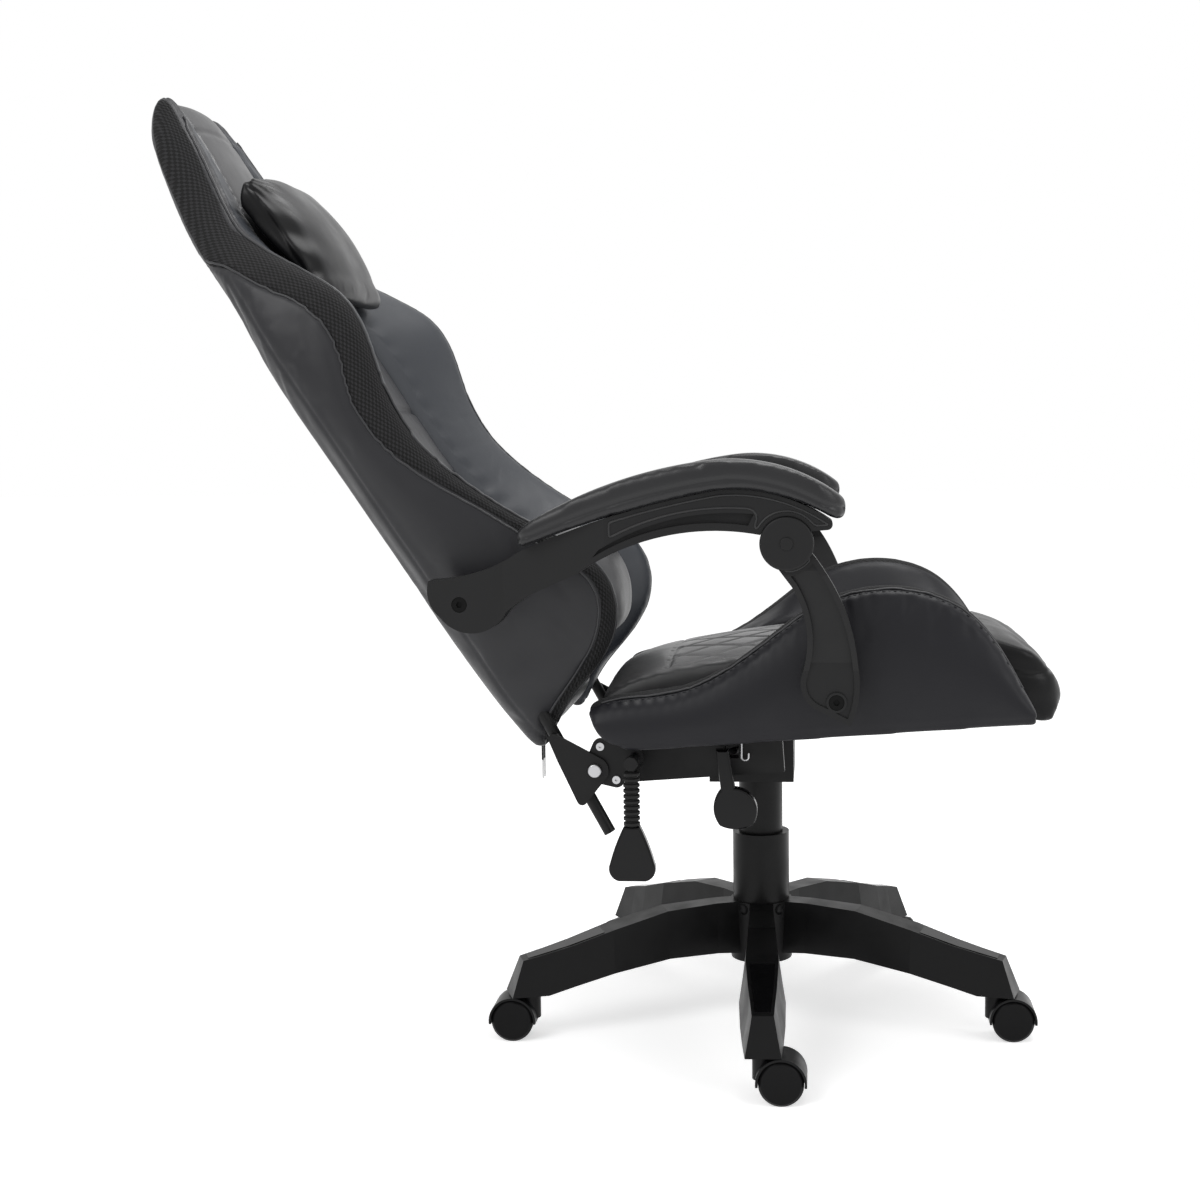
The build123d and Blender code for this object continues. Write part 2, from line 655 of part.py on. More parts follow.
with BuildPart() as seat_plate:
    with BuildSketch(Plane.XZ.offset(RECLINER_Y)):
        with Locations(pivot):
            Circle(2.4 * PIVOT_BOLT_R)
        with Locations(upper_screw, lower_screw):
            Circle(2 * SCREW_HEAD_R)
        with Locations((RECLINE_LEVER_X, RECLINE_LEVER_Z)):
            Circle(2 * LEVER_AXLE_R)
        make_hull()
    extrude(amount=RECLINER_PLATE)
    with BuildSketch(Plane.XZ.offset(RECLINER_Y)):
        with Locations(pivot):
            Circle(PIVOT_BOLT_R + RUNNING_FIT)
        with Locations(upper_screw, lower_screw):
            Circle(SCREW_R)
        with Locations((RECLINE_LEVER_X, RECLINE_LEVER_Z)):
            Circle(LEVER_AXLE_R + RUNNING_FIT)
    extrude(amount=RECLINER_PLATE, mode=Mode.SUBTRACT)
write(Compound(children=[seat_plate.part, mirrored(seat_plate.part)]), "recliner_seat_plates")

with BuildPart() as recliner_screw_pair:
    with BuildSketch(Plane.XZ.offset(RECLINER_Y)):
        with Locations(upper_screw, lower_screw):
            Circle(SCREW_R)
    extrude(amount=RECLINER_PLATE)
    with BuildSketch(Plane.XZ.offset(seat_plate_outer)):
        with Locations(upper_screw, lower_screw):
            Circle(SCREW_HEAD_R)
            RegularPolygon(SCREW_R * 0.6, 6, mode=Mode.SUBTRACT)
    extrude(amount=SCREW_HEAD)
write(Compound(children=[*recliner_screw_pair.part.solids(), *mirrored(recliner_screw_pair.part).solids()]),
      "recliner_screws")

# Back frame of reference
lean = math.radians(BACK_ANGLE)
up_back = Vector(-math.cos(lean), 0, math.sin(lean))
forward = Vector(math.sin(lean), 0, math.cos(lean))


def back_point(u, y, v):
    """A point given up the back, across it and forward of its reference plane."""
    return Vector(PIVOT_X, y, PIVOT_Z) + up_back * u + forward * v


def back_section(u):
    """The plane across the back at a height up it."""
    return Plane(origin=back_point(u, 0, 0), x_dir=(0, 1, 0), z_dir=up_back * -1)


# Up the back: place, half width, rear face, front edge of the wing, front of the centre
back_stations = (
    (50.0, 164.0, -52.0, -36.0, -40.0),
    (64.0, 178.0, -55.0, -18.0, -26.0),
    (78.0, 190.0, -56.0, 6.0, -10.0),
    (92.0, 199.0, -57.0, 46.0, 6.0),
    (112.0, 211.0, -57.0, 91.0, 18.0),
    (140.0, 220.0, -57.0, 118.0, 26.0),
    (180.0, 226.0, -57.0, 130.0, 29.0),
    (225.0, 231.0, -58.0, 119.0, 24.0),
    (285.0, 236.0, -59.0, 86.0, 8.0),
    (350.0, 242.0, -60.0, 58.0, -8.0),
    (420.0, 247.0, -61.0, 41.0, -14.0),
    (490.0, 249.0, -63.0, 40.0, -16.0),
    (555.0, 249.0, -65.0, 52.0, -16.0),
    (600.0, 244.0, -66.0, 49.0, -16.0),
    (642.0, 232.0, -67.0, 28.0, -17.0),
    (HEAD_SPLIT, 208.0, -68.0, 0.0, -20.0),
    (725.0, 184.0, -71.0, -16.0, -24.0),
    (780.0, 152.0, -75.0, -22.0, -26.0),
    (835.0, 131.0, -71.0, -19.0, -22.0),
    (880.0, 114.0, -63.0, -16.0, -19.0),
    (904.0, 98.0, -52.0, -16.0, -20.0),
    (914.0, 87.0, -38.0, -22.0, -25.0),
)


def centre_edge(u):
    """Half the width of the back's centre, which narrows evenly to the head."""
    return BACK_CENTRE_FOOT - BACK_CENTRE_TAPER * (u - back_stations[0][0])


post_knee = back_point(POST_KNEE, -POST_Y, POST_V)
post_foot = Vector(POST_FOOT_X, -POST_Y, POST_FOOT_Z)
arm_bolt = Vector(ARM_BOLT_X, 0, ARM_BOLT_Z)
arm_bolt_inner = POST_Y + POST_R
tube_ends = [back_point(u, POST_Y, POST_V - TUBE_SINK) for u in BACK_TUBE_U]
plate_block = post_knee + (post_foot - post_knee) * 0.12


def back_tubes(radius, mode):
    """The cross tubes of the back frame, or the channels that they run in."""
    for end in tube_ends:
        rod((end.X, -end.Y, end.Z), end, radius, mode)


def back_post(radius, reach):
    """The bent post on the right, or the channel that it runs in."""
    with BuildPart() as bar:
        with BuildLine() as run:
            Polyline(post_foot, post_knee, back_point(POST_TOP + reach, -POST_Y, POST_V))
        with BuildSketch(Plane(origin=run.line @ 0, z_dir=run.line % 0)):
            Circle(radius)
        sweep(transition=Transition.RIGHT)
    return bar.part


post_right = back_post(POST_R, 0.0)
with BuildPart() as back_frame:
    add(post_right)
    mirror(post_right, about=Plane.XZ)
    for side in (1, -1):
        block_start = (plate_block.X, side * POST_Y, plate_block.Z)
        block_end = (plate_block.X, side * back_plate_inner, plate_block.Z)
        rod(block_start, block_end, TUBE_R)
    back_tubes(TUBE_R, Mode.ADD)
write(back_frame.part, "back_frame")

post_channel = back_post(POST_R + SEAM_GAP, SEAM_GAP)
with BuildPart() as back_wing_right:
    for u, half, rear, edge, centre in back_stations:
        deep = edge - rear
        corner = min(34.0, 0.4 * deep)
        crest = min(20.0, 0.32 * deep)
        inner = -centre_edge(u) - SEAM_GAP
        slope_start = (-half + 2 * crest, edge - crest / 5)
        slope_middle = ((slope_start[0] + inner) / 2, (slope_start[1] + centre) / 2 + crest / 5)
        with BuildSketch(back_section(u)):
            with BuildLine():
                Line((inner, rear), (-half + corner, rear))
                ThreePointArc((-half + corner, rear), (-half + 0.293 * corner, rear + 0.293 * corner),
                              (-half, rear + corner))
                Line((-half, rear + corner), (-half + crest / 5, edge - crest))
                ThreePointArc((-half + crest / 5, edge - crest), (-half + crest, edge), slope_start)
                ThreePointArc(slope_start, slope_middle, (inner, centre))
                Line((inner, centre), (inner, rear))
            make_face()
    loft()
    add(post_channel, mode=Mode.SUBTRACT)
    back_tubes(TUBE_R + SEAM_GAP, Mode.SUBTRACT)
    rod((arm_bolt.X, -arm_bolt_inner, arm_bolt.Z), (arm_bolt.X, -2 * arm_bolt_inner, arm_bolt.Z),
        ARM_BOLT_R + SEAM_GAP, Mode.SUBTRACT)
write(back_wing_right.part, "back_wing_right")
back_wing_left = mirrored(back_wing_right.part)
write(back_wing_left, "back_wing_left")


def back_slab(stations, rear_of, front_of, crown):
    """A pad between the wings, from its rear and front faces at each station."""
    with BuildPart() as slab:
        for station in stations:
            half = centre_edge(station[0])
            rear = rear_of(station)
            front = front_of(station)
            with BuildSketch(back_section(station[0])):
                with BuildLine():
                    Polyline((half, front), (half, rear), (-half, rear), (-half, front))
                    ThreePointArc((-half, front), (0, front + crown), (half, front))
                make_face()
        loft(ruled=True)
        if stations[0][0] < HEAD_SPLIT:
            back_tubes(TUBE_R + SEAM_GAP, Mode.SUBTRACT)
    return slab.part


panel_rear = [s for s in back_stations if s[4] - s[2] > 2 * REAR_PANEL]
centre_stations_back = [s for s in panel_rear if s[0] < HEAD_SPLIT]
split_station = [s for s in back_stations if s[0] == HEAD_SPLIT][0]
below_split = (HEAD_SPLIT - SEAM_GAP,) + split_station[1:]
head_stations = [s for s in panel_rear if s[0] >= HEAD_SPLIT]

back_rear_panel = back_slab(panel_rear, lambda s: s[2], lambda s: s[2] + REAR_PANEL, SEAM_GAP)
write(back_rear_panel, "back_rear_panel")
back_centre_pad = back_slab(centre_stations_back + [below_split], lambda s: s[2] + REAR_PANEL + REAR_GAP,
                            lambda s: s[4], BACK_CROWN)
write(back_centre_pad, "back_centre_pad")
head_panel = back_slab(head_stations, lambda s: s[2] + REAR_PANEL + REAR_GAP, lambda s: s[4], BACK_CROWN)
write(head_panel, "head_panel")

with BuildPart() as back_plate:
    with BuildSketch(Plane.XZ.offset(back_plate_inner)):
        with Locations(pivot):
            Circle(2.6 * PIVOT_BOLT_R)
        with Locations((plate_block.X, plate_block.Z), (PIVOT_X - 37.0, PIVOT_Z + 13.0),
                       (PIVOT_X - 15.0, PIVOT_Z - 34.0)):
            Circle(PIVOT_BOLT_R)
        make_hull()
    extrude(amount=RECLINER_PLATE)
    with BuildSketch(Plane.XZ.offset(back_plate_inner)):
        with Locations(pivot):
            Circle(PIVOT_BOLT_R)
    extrude(amount=RECLINER_PLATE, mode=Mode.SUBTRACT)
write(Compound(children=[back_plate.part, mirrored(back_plate.part)]), "recliner_back_plates")

with BuildPart() as pivot_bolt:
    with BuildSketch(Plane.XZ.offset(RECLINER_Y)):
        with Locations(pivot):
            Circle(PIVOT_BOLT_R)
    extrude(amount=back_plate_outer - RECLINER_Y)
    with BuildSketch(Plane.XZ.offset(back_plate_outer)):
        with Locations(pivot):
            Circle(1.3 * PIVOT_BOLT_R)
    extrude(amount=PIVOT_BOLT_R * 0.7)
    fillet(pivot_bolt.edges().group_by(Axis.Y)[0], PIVOT_BOLT_R / 3)
write(Compound(children=[pivot_bolt.part, mirrored(pivot_bolt.part)]), "recliner_pivot_bolts")


def pillow(u, half_height, half_width, thick, low_lift):
    """A stuffed pillow that lies on the back's front: crowned ahead, drawn in towards its ends."""
    share = 0.72
    lies = [between(back_stations, u + k * share * half_height, 4) + BACK_CROWN + PILLOW_GAP for k in (-1, 0, 1)]
    lies = [lies[0] + low_lift, lies[1] + low_lift / 3, lies[2] + low_lift / 6]
    with BuildPart() as body:
        for place in (-1.0, -0.86, -0.5, 0.0, 0.5, 0.86, 1.0):
            fall = place * place
            high = half_height * (1 - 0.22 * fall * fall)
            front = lies[1] + thick * (1 - 0.62 * fall * fall)
            low_side = lies[0] + 0.38 * (front - lies[0])
            high_side = lies[2] + 0.38 * (front - lies[2])
            section = Plane(origin=back_point(u, place * half_width, 0), x_dir=up_back, z_dir=(0, 1, 0))
            with BuildSketch(section):
                with BuildLine():
                    ThreePointArc((-share * high, lies[0]), (0, lies[1]), (share * high, lies[2]))
                    ThreePointArc((share * high, lies[2]), (high, high_side),
                                  (share * high, lies[2] + 0.8 * (front - lies[2])))
                    ThreePointArc((share * high, lies[2] + 0.8 * (front - lies[2])), (0, front),
                                  (-share * high, lies[0] + 0.8 * (front - lies[0])))
                    ThreePointArc((-share * high, lies[0] + 0.8 * (front - lies[0])), (-high, low_side),
                                  (-share * high, lies[0]))
                make_face()
        loft()
    return body.part


lumbar_pillow = pillow(LUMBAR_U, LUMBAR_HALF_HEIGHT, LUMBAR_HALF_WIDTH, LUMBAR_THICK, 0.0)
write(lumbar_pillow, "lumbar_pillow")
head_pillow = pillow(HEAD_PILLOW_U, HEAD_PILLOW_HALF_HEIGHT, HEAD_PILLOW_HALF_WIDTH, HEAD_PILLOW_THICK,
                     HEAD_PILLOW_LIFT)
write(head_pillow, "head_pillow")

zip_head = back_point(panel_rear[0][0] - SEAM_GAP - ZIP_THICK / 2, 0, panel_rear[0][2] + REAR_PANEL / 2)
zips = []
for zip_y in ZIP_Y:
    with BuildPart() as zip_pull:
        with Locations((zip_head.X, zip_y, zip_head.Z)):
            Box(ZIP_THICK, ZIP_WIDTH, ZIP_LENGTH, align=(Align.CENTER, Align.CENTER, Align.MAX))
        fillet(zip_pull.edges().filter_by(Axis.X), ZIP_WIDTH / 4)
    zips.append(zip_pull.part)
write(Compound(children=zips), "zip_pulls")


# Arms in the side view, with points given from the front pivot and from the rear bolt
def from_pivot(x, z):
    return (ARM_PIVOT_X + x, ARM_PIVOT_Z + z)


def from_bolt(x, z):
    return (ARM_BOLT_X + x, ARM_BOLT_Z + z)


def from_foot(x, z):
    return (STRUT_BOLT_X + x, STRUT_BOLT_Z + z)


arm_outer_y = ARM_INNER_Y + ARM_WIDTH
strut_inner_y = arm_outer_y - STRUT_THICK - 2 * PLATE_GAP - CAP_THICK / 3
strut_outer_y = strut_inner_y + STRUT_THICK
cap_inner_y = strut_outer_y + PLATE_GAP
rear_outer_y = ARM_REAR_Y + ARM_REAR_WIDTH
bolt_recess = ARM_BOLT_HEAD + 2 * PLATE_GAP

with BuildPart() as arm_beam_right:
    with BuildSketch(Plane.XZ.offset(ARM_REAR_Y)):
        with BuildLine():
            ThreePointArc(from_bolt(-33, 26), from_bolt(14, 33), from_bolt(66, 57))
            Line(from_bolt(66, 57), from_pivot(-280, -6))
            ThreePointArc(from_pivot(-280, -6), from_pivot(-172, 33), from_pivot(-72, 56))
            ThreePointArc(from_pivot(-72, 56), from_pivot(-8, 50), from_pivot(45, 25))
            ThreePointArc(from_pivot(45, 25), from_pivot(48, 19), from_pivot(43, 14))
            Line(from_pivot(43, 14), from_pivot(-27, 9))
            ThreePointArc(from_pivot(-27, 9), from_pivot(-130, 8), from_pivot(-221, -31))
            Line(from_pivot(-221, -31), from_bolt(89, 16))
            ThreePointArc(from_bolt(89, 16), from_bolt(70, 6), from_bolt(51, -8))
            ThreePointArc(from_bolt(51, -8), from_bolt(14, -31), from_bolt(-21, -14))
            ThreePointArc(from_bolt(-21, -14), from_bolt(-33, 4), from_bolt(-33, 26))
        make_face()
        with Locations(from_pivot(0, 0)):
            Circle(EYE_R)
    extrude(amount=arm_outer_y - ARM_REAR_Y)
    with BuildSketch(Plane.XY.offset(ARM_BOLT_Z - 5 * EYE_R)):
        with BuildLine():
            Polyline(
                (ARM_BOLT_X - 2 * EYE_R, -ARM_REAR_Y),
                (ARM_BOLT_X + 2 * EYE_R, -ARM_REAR_Y),
                (ARM_PIVOT_X - 8 * EYE_R, -ARM_INNER_Y),
                (ARM_PIVOT_X + 3 * EYE_R, -ARM_INNER_Y),
                (ARM_PIVOT_X + 3 * EYE_R, -arm_outer_y),
                (ARM_PIVOT_X - 8 * EYE_R, -arm_outer_y),
                (ARM_BOLT_X + 2 * EYE_R, -rear_outer_y),
                (ARM_BOLT_X - 2 * EYE_R, -rear_outer_y),
                close=True,
            )
        make_face()
    extrude(amount=12 * EYE_R, mode=Mode.INTERSECT)
    # pocket for the strut's eye and its swing below the beam
    with BuildSketch(Plane.XZ.offset(strut_inner_y - PLATE_GAP)):
        with Locations(from_pivot(0, 0)):
            Circle(CAP_R + PLATE_GAP)
        with Locations(from_pivot(0, -CAP_R)):
            Rectangle(2 * CAP_R, 2 * CAP_R)
    extrude(amount=ARM_WIDTH, mode=Mode.SUBTRACT)
    with BuildSketch(Plane.XZ.offset(arm_outer_y - SLOT_DEPTH)):
        with BuildLine():
            Line(from_pivot(-205, -14), from_pivot(-198, -6))
            ThreePointArc(from_pivot(-198, -6), from_pivot(-110, 28), from_pivot(-34, 31))
            Line(from_pivot(-34, 31), from_pivot(-40, 19))
            ThreePointArc(from_pivot(-40, 19), from_pivot(-115, 19), from_pivot(-205, -14))
        make_face()
    extrude(amount=2 * SLOT_DEPTH, mode=Mode.SUBTRACT)
    rod((ARM_PIVOT_X, -ARM_INNER_Y, ARM_PIVOT_Z), (ARM_PIVOT_X, -arm_outer_y, ARM_PIVOT_Z), PIVOT_PIN_R,
        Mode.SUBTRACT)
    rod((ARM_BOLT_X, -ARM_REAR_Y, ARM_BOLT_Z), (ARM_BOLT_X, -rear_outer_y, ARM_BOLT_Z),
        ARM_BOLT_R + RUNNING_FIT, Mode.SUBTRACT)
    rod((ARM_BOLT_X, -rear_outer_y + bolt_recess, ARM_BOLT_Z), (ARM_BOLT_X, -arm_outer_y, ARM_BOLT_Z),
        ARM_BOLT_HEAD_R + PLATE_GAP, Mode.SUBTRACT)
write(arm_beam_right.part, "arm_beam_right")

pad_middle_y = ARM_INNER_Y + ARM_WIDTH / 2
with BuildPart() as arm_pad_right:
    with BuildSketch(Plane.XZ.offset(pad_middle_y)):
        with BuildLine():
            lift = SEAM_GAP
            ThreePointArc(from_pivot(-288, -6 + lift), from_pivot(-172, 33 + 2 * lift),
                          from_pivot(-72, 56 + 2 * lift))
            ThreePointArc(from_pivot(-72, 56 + 2 * lift), from_pivot(-8, 50 + 2 * lift),
                          from_pivot(54, 22 + 2 * lift))
            ThreePointArc(from_pivot(54, 22 + 2 * lift), from_pivot(64, 36), from_pivot(60, 47))
            ThreePointArc(from_pivot(60, 47), from_pivot(0, 79), from_pivot(-75, 88))
            ThreePointArc(from_pivot(-75, 88), from_pivot(-190, 62), from_pivot(-288, 14))
            Line(from_pivot(-288, 14), from_pivot(-288, -6 + lift))
        make_face()
    extrude(amount=PAD_HALF_WIDTH, both=True)
    with BuildSketch(Plane.XY.offset(ARM_PIVOT_Z - 3 * EYE_R)):
        with BuildLine() as pad_plan:
            Line((ARM_PIVOT_X - 278, -pad_middle_y + 19), (ARM_PIVOT_X - 200, -pad_middle_y + PAD_HALF_WIDTH - 5))
            ThreePointArc((ARM_PIVOT_X - 200, -pad_middle_y + PAD_HALF_WIDTH - 5),
                          (ARM_PIVOT_X - 60, -pad_middle_y + PAD_HALF_WIDTH),
                          (ARM_PIVOT_X + 36, -pad_middle_y + PAD_HALF_WIDTH - 4))
            ThreePointArc((ARM_PIVOT_X + 36, -pad_middle_y + PAD_HALF_WIDTH - 4),
                          (ARM_PIVOT_X + 58, -pad_middle_y + 14), (ARM_PIVOT_X + 63, -pad_middle_y))
            mirror(about=Plane.XZ.offset(pad_middle_y))
            ThreePointArc((ARM_PIVOT_X - 278, -pad_middle_y + 19), (ARM_PIVOT_X - 288, -pad_middle_y),
                          (ARM_PIVOT_X - 278, -pad_middle_y - 19))
        make_face()
    extrude(amount=8 * EYE_R, mode=Mode.INTERSECT)
write(arm_pad_right.part, "arm_pad_right")

with BuildPart() as arm_pivot_cap_right:
    with BuildSketch(Plane.XZ.offset(cap_inner_y)):
        with Locations(from_pivot(0, 0)):
            Circle(CAP_R)
    extrude(amount=CAP_THICK)
    fillet(arm_pivot_cap_right.edges().group_by(Axis.Y)[0], CAP_THICK / 3)
    with BuildSketch(Plane.XZ.offset(cap_inner_y + CAP_THICK)):
        with Locations(from_pivot(0, 0)):
            Circle(PIVOT_PIN_R)
    extrude(amount=CAP_THICK / 5)
    fillet(arm_pivot_cap_right.edges().group_by(Axis.Y)[0], CAP_THICK / 6)
    rod((ARM_PIVOT_X, -ARM_INNER_Y, ARM_PIVOT_Z), (ARM_PIVOT_X, -cap_inner_y, ARM_PIVOT_Z), PIVOT_PIN_R)
write(arm_pivot_cap_right.part, "arm_pivot_cap_right")

strut_foot_y = SEAT_HALF + STRUT_SEAT_GAP
strut_foot_outer = strut_foot_y + STRUT_FOOT_THICK
strut_rise = ARM_PIVOT_Z - STRUT_BOLT_Z


def strut_side():
    """The strut's outline in the side view, below its eye."""
    with BuildSketch() as outline:
        with BuildLine():
            ThreePointArc(from_pivot(EYE_R - 1, -6), from_foot(8, 104), from_foot(23, 40))
            ThreePointArc(from_foot(23, 40), from_foot(24, 6), from_foot(15, -26))
            Line(from_foot(15, -26), from_foot(-18, -9))
            ThreePointArc(from_foot(-18, -9), from_foot(-36, 8), from_foot(-37, 30))
            ThreePointArc(from_foot(-37, 30), from_foot(-32, 82), from_pivot(5, -46))
            Line(from_pivot(5, -46), from_pivot(-EYE_R + 4, -12))
            Line(from_pivot(-EYE_R + 4, -12), from_pivot(EYE_R - 1, -6))
        make_face()
    return outline.sketch


def strut_front(inner, outer, foot_inner, foot_outer):
    """The strut's outline in the front view: its head stands further out than its foot."""
    with BuildSketch() as outline:
        with BuildLine():
            Polyline(
                (-inner, ARM_PIVOT_Z + 2 * EYE_R),
                (-outer, ARM_PIVOT_Z + 2 * EYE_R),
                (-outer, ARM_PIVOT_Z - 1.4 * EYE_R),
                (-foot_outer, STRUT_BOLT_Z + 0.2 * strut_rise),
                (-foot_outer, STRUT_BOLT_Z - 2 * EYE_R),
                (-foot_inner, STRUT_BOLT_Z - 2 * EYE_R),
                (-foot_inner, STRUT_BOLT_Z + 0.25 * strut_rise),
                (-inner, ARM_PIVOT_Z - 1.2 * EYE_R),
                close=True,
            )
        make_face()
    return outline.sketch


with BuildPart() as strut_panel:
    with BuildSketch(Plane.XZ.offset(strut_foot_y)):
        add(strut_side())
        offset(amount=-STRUT_RIM, kind=Kind.INTERSECTION, mode=Mode.REPLACE)
    extrude(amount=strut_outer_y - strut_foot_y + STRUT_THICK)
    with BuildSketch(Plane.YZ.offset(STRUT_BOLT_X - 5 * EYE_R)):
        add(strut_front(strut_outer_y - PANEL_DEPTH, strut_outer_y + STRUT_THICK, strut_foot_outer - PANEL_DEPTH,
                        strut_foot_outer + STRUT_THICK))
    extrude(amount=10 * EYE_R, mode=Mode.INTERSECT)
    with BuildSketch(Plane.XZ.offset(strut_foot_y)):
        with Locations(from_pivot(0, 0)):
            Circle(CAP_R + STRUT_RIM)
        with Locations(from_foot(0, 0)):
            Circle(ARM_BOLT_HEAD_R + STRUT_RIM / 2)
    extrude(amount=strut_outer_y - strut_foot_y + STRUT_THICK, mode=Mode.SUBTRACT)

with BuildPart() as arm_strut_right:
    with BuildSketch(Plane.XZ.offset(strut_foot_y)):
        add(strut_side())
        with Locations(from_pivot(0, 0)):
            Circle(EYE_R)
    extrude(amount=strut_outer_y - strut_foot_y)
    with BuildSketch(Plane.YZ.offset(STRUT_BOLT_X - 5 * EYE_R)):
        add(strut_front(strut_inner_y, strut_outer_y, strut_foot_y, strut_foot_outer))
    extrude(amount=10 * EYE_R, mode=Mode.INTERSECT)
    add(strut_panel.part, mode=Mode.SUBTRACT)
    rod((ARM_PIVOT_X, -strut_inner_y, ARM_PIVOT_Z), (ARM_PIVOT_X, -strut_outer_y, ARM_PIVOT_Z),
        PIVOT_PIN_R + PIVOT_PLAY, Mode.SUBTRACT)
    rod((STRUT_BOLT_X, -strut_foot_y, STRUT_BOLT_Z), (STRUT_BOLT_X, -strut_foot_outer, STRUT_BOLT_Z),
        ARM_BOLT_R + RUNNING_FIT, Mode.SUBTRACT)
    rod((STRUT_BOLT_X, -strut_foot_outer + bolt_recess, STRUT_BOLT_Z),
        (STRUT_BOLT_X, -strut_foot_outer, STRUT_BOLT_Z), ARM_BOLT_HEAD_R + PLATE_GAP, Mode.SUBTRACT)
write(arm_strut_right.part, "arm_strut_right")

for piece, name in (
    (arm_beam_right.part, "arm_beam_left"),
    (arm_pad_right.part, "arm_pad_left"),
    (arm_pivot_cap_right.part, "arm_pivot_cap_left"),
    (arm_strut_right.part, "arm_strut_left"),
):
    write(mirrored(piece), name)


def shoulder_bolt(x, z, inner_y, recess_y):
    """A bolt along the chair's width, its head seated in a recess."""
    with BuildPart() as bolt:
        rod((x, -inner_y, z), (x, -recess_y - PLATE_GAP, z), ARM_BOLT_R)
        rod((x, -recess_y - PLATE_GAP, z), (x, -recess_y - PLATE_GAP - ARM_BOLT_HEAD, z), ARM_BOLT_HEAD_R)
        with BuildSketch(Plane.XZ.offset(recess_y + PLATE_GAP + ARM_BOLT_HEAD)):
            with Locations((x, z)):
                RegularPolygon(ARM_BOLT_R * 0.7, 6)
        extrude(amount=-ARM_BOLT_HEAD / 2, mode=Mode.SUBTRACT)
    return bolt.part


arm_bolt_right = shoulder_bolt(ARM_BOLT_X, ARM_BOLT_Z, arm_bolt_inner, rear_outer_y - bolt_recess)
write(Compound(children=[arm_bolt_right, mirrored(arm_bolt_right)]), "arm_bolts")
strut_bolt_right = shoulder_bolt(STRUT_BOLT_X, STRUT_BOLT_Z, SEAT_HALF - STRUT_FOOT_THICK + SEAM_GAP,
                                 strut_foot_outer - bolt_recess)
write(Compound(children=[strut_bolt_right, mirrored(strut_bolt_right)]), "strut_bolts")

# Lift lever: a bent rod from the release button to its paddle
with BuildPart() as lift_lever_rod:
    rod(rod_start, rod_end, LIFT_ROD_R)
    rod(*fulcrum_pin, FULCRUM_PIN_R)
write(lift_lever_rod.part, "lift_lever_rod")

with BuildPart() as lift_lever_paddle:
    with BuildSketch(Plane.XZ.offset(-LIFT_PADDLE_Y - PADDLE_THICK / 2)):
        with BuildLine():
            x = LIFT_PADDLE_X
            z = rod_outer_z
            Line((x + 7, z + 5), (x - 7, z + 5))
            Line((x - 7, z + 5), (x - 2, z - 40))
            ThreePointArc((x - 2, z - 40), (x - 10, z - 66), (x - 3, z - 82))
            ThreePointArc((x - 3, z - 82), (x + 16, z - 86), (x + 34, z - 81))
            ThreePointArc((x + 34, z - 81), (x + 39, z - 61), (x + 14, z - 38))
            Line((x + 14, z - 38), (x + 7, z + 5))
        make_face()
    extrude(amount=PADDLE_THICK)
    fillet(lift_lever_paddle.faces().sort_by(Axis.Y)[0].edges(), PADDLE_EDGE)
    rod(rod_start, rod_end, LIFT_ROD_R, Mode.SUBTRACT)
write(lift_lever_paddle.part, "lift_lever_paddle")

# Recline lever: axle and rod, ribbed sleeve, paddle
lever_x = RECLINE_LEVER_X
lever_y = RECLINE_LEVER_Y
rod_foot = SLEEVE_BOTTOM - 6 * LEVER_ROD_R
with BuildPart() as recline_lever_arm:
    rod((lever_x, -RECLINER_Y, RECLINE_LEVER_Z), (lever_x, lever_y - LEVER_HUB_R, RECLINE_LEVER_Z), LEVER_AXLE_R)
    rod((lever_x, lever_y + LEVER_HUB_R, RECLINE_LEVER_Z), (lever_x, lever_y - LEVER_HUB_R, RECLINE_LEVER_Z),
        LEVER_HUB_R)
    rod((lever_x, lever_y, RECLINE_LEVER_Z), (lever_x, lever_y, rod_foot), LEVER_ROD_R)
write(recline_lever_arm.part, "recline_lever_arm")

rib_pitch = (SLEEVE_TOP - SLEEVE_BOTTOM) / SLEEVE_RIBS
with BuildPart() as recline_lever_sleeve:
    for rib in range(SLEEVE_RIBS):
        for share, inset in ((0.02, SLEEVE_GROOVE), (0.25, 0.0), (0.7, 0.0), (0.93, SLEEVE_GROOVE)):
            level = SLEEVE_BOTTOM + (rib + share) * rib_pitch
            with BuildSketch(Plane(origin=(lever_x, lever_y, level), x_dir=(1, 0, 0), z_dir=(0, 0, 1))):
                Circle(SLEEVE_R - inset)
    loft(ruled=True)
    rod((lever_x, lever_y, SLEEVE_BOTTOM), (lever_x, lever_y, SLEEVE_TOP), LEVER_ROD_R, Mode.SUBTRACT)
write(recline_lever_sleeve.part, "recline_lever_sleeve")

with BuildPart() as recline_lever_paddle:
    with BuildSketch(Plane.XZ.offset(-lever_y - PADDLE_THICK / 2)):
        with BuildLine():
            top = SLEEVE_BOTTOM
            low = PADDLE_BOTTOM
            Line((lever_x + 9, top), (lever_x - 9, top))
            ThreePointArc((lever_x - 9, top), (lever_x - 19, top - 23), (lever_x - 25, low + 20))
            ThreePointArc((lever_x - 25, low + 20), (lever_x - 23, low + 5), (lever_x - 15, low))
            Line((lever_x - 15, low), (lever_x + 15, low))
            ThreePointArc((lever_x + 15, low), (lever_x + 23, low + 5), (lever_x + 25, low + 20))
            ThreePointArc((lever_x + 25, low + 20), (lever_x + 19, top - 23), (lever_x + 9, top))
        make_face()
    extrude(amount=PADDLE_THICK)
    fillet(recline_lever_paddle.faces().sort_by(Axis.Y)[0].edges(), PADDLE_EDGE)
    rod((lever_x, lever_y, SLEEVE_TOP), (lever_x, lever_y, rod_foot), LEVER_ROD_R, Mode.SUBTRACT)
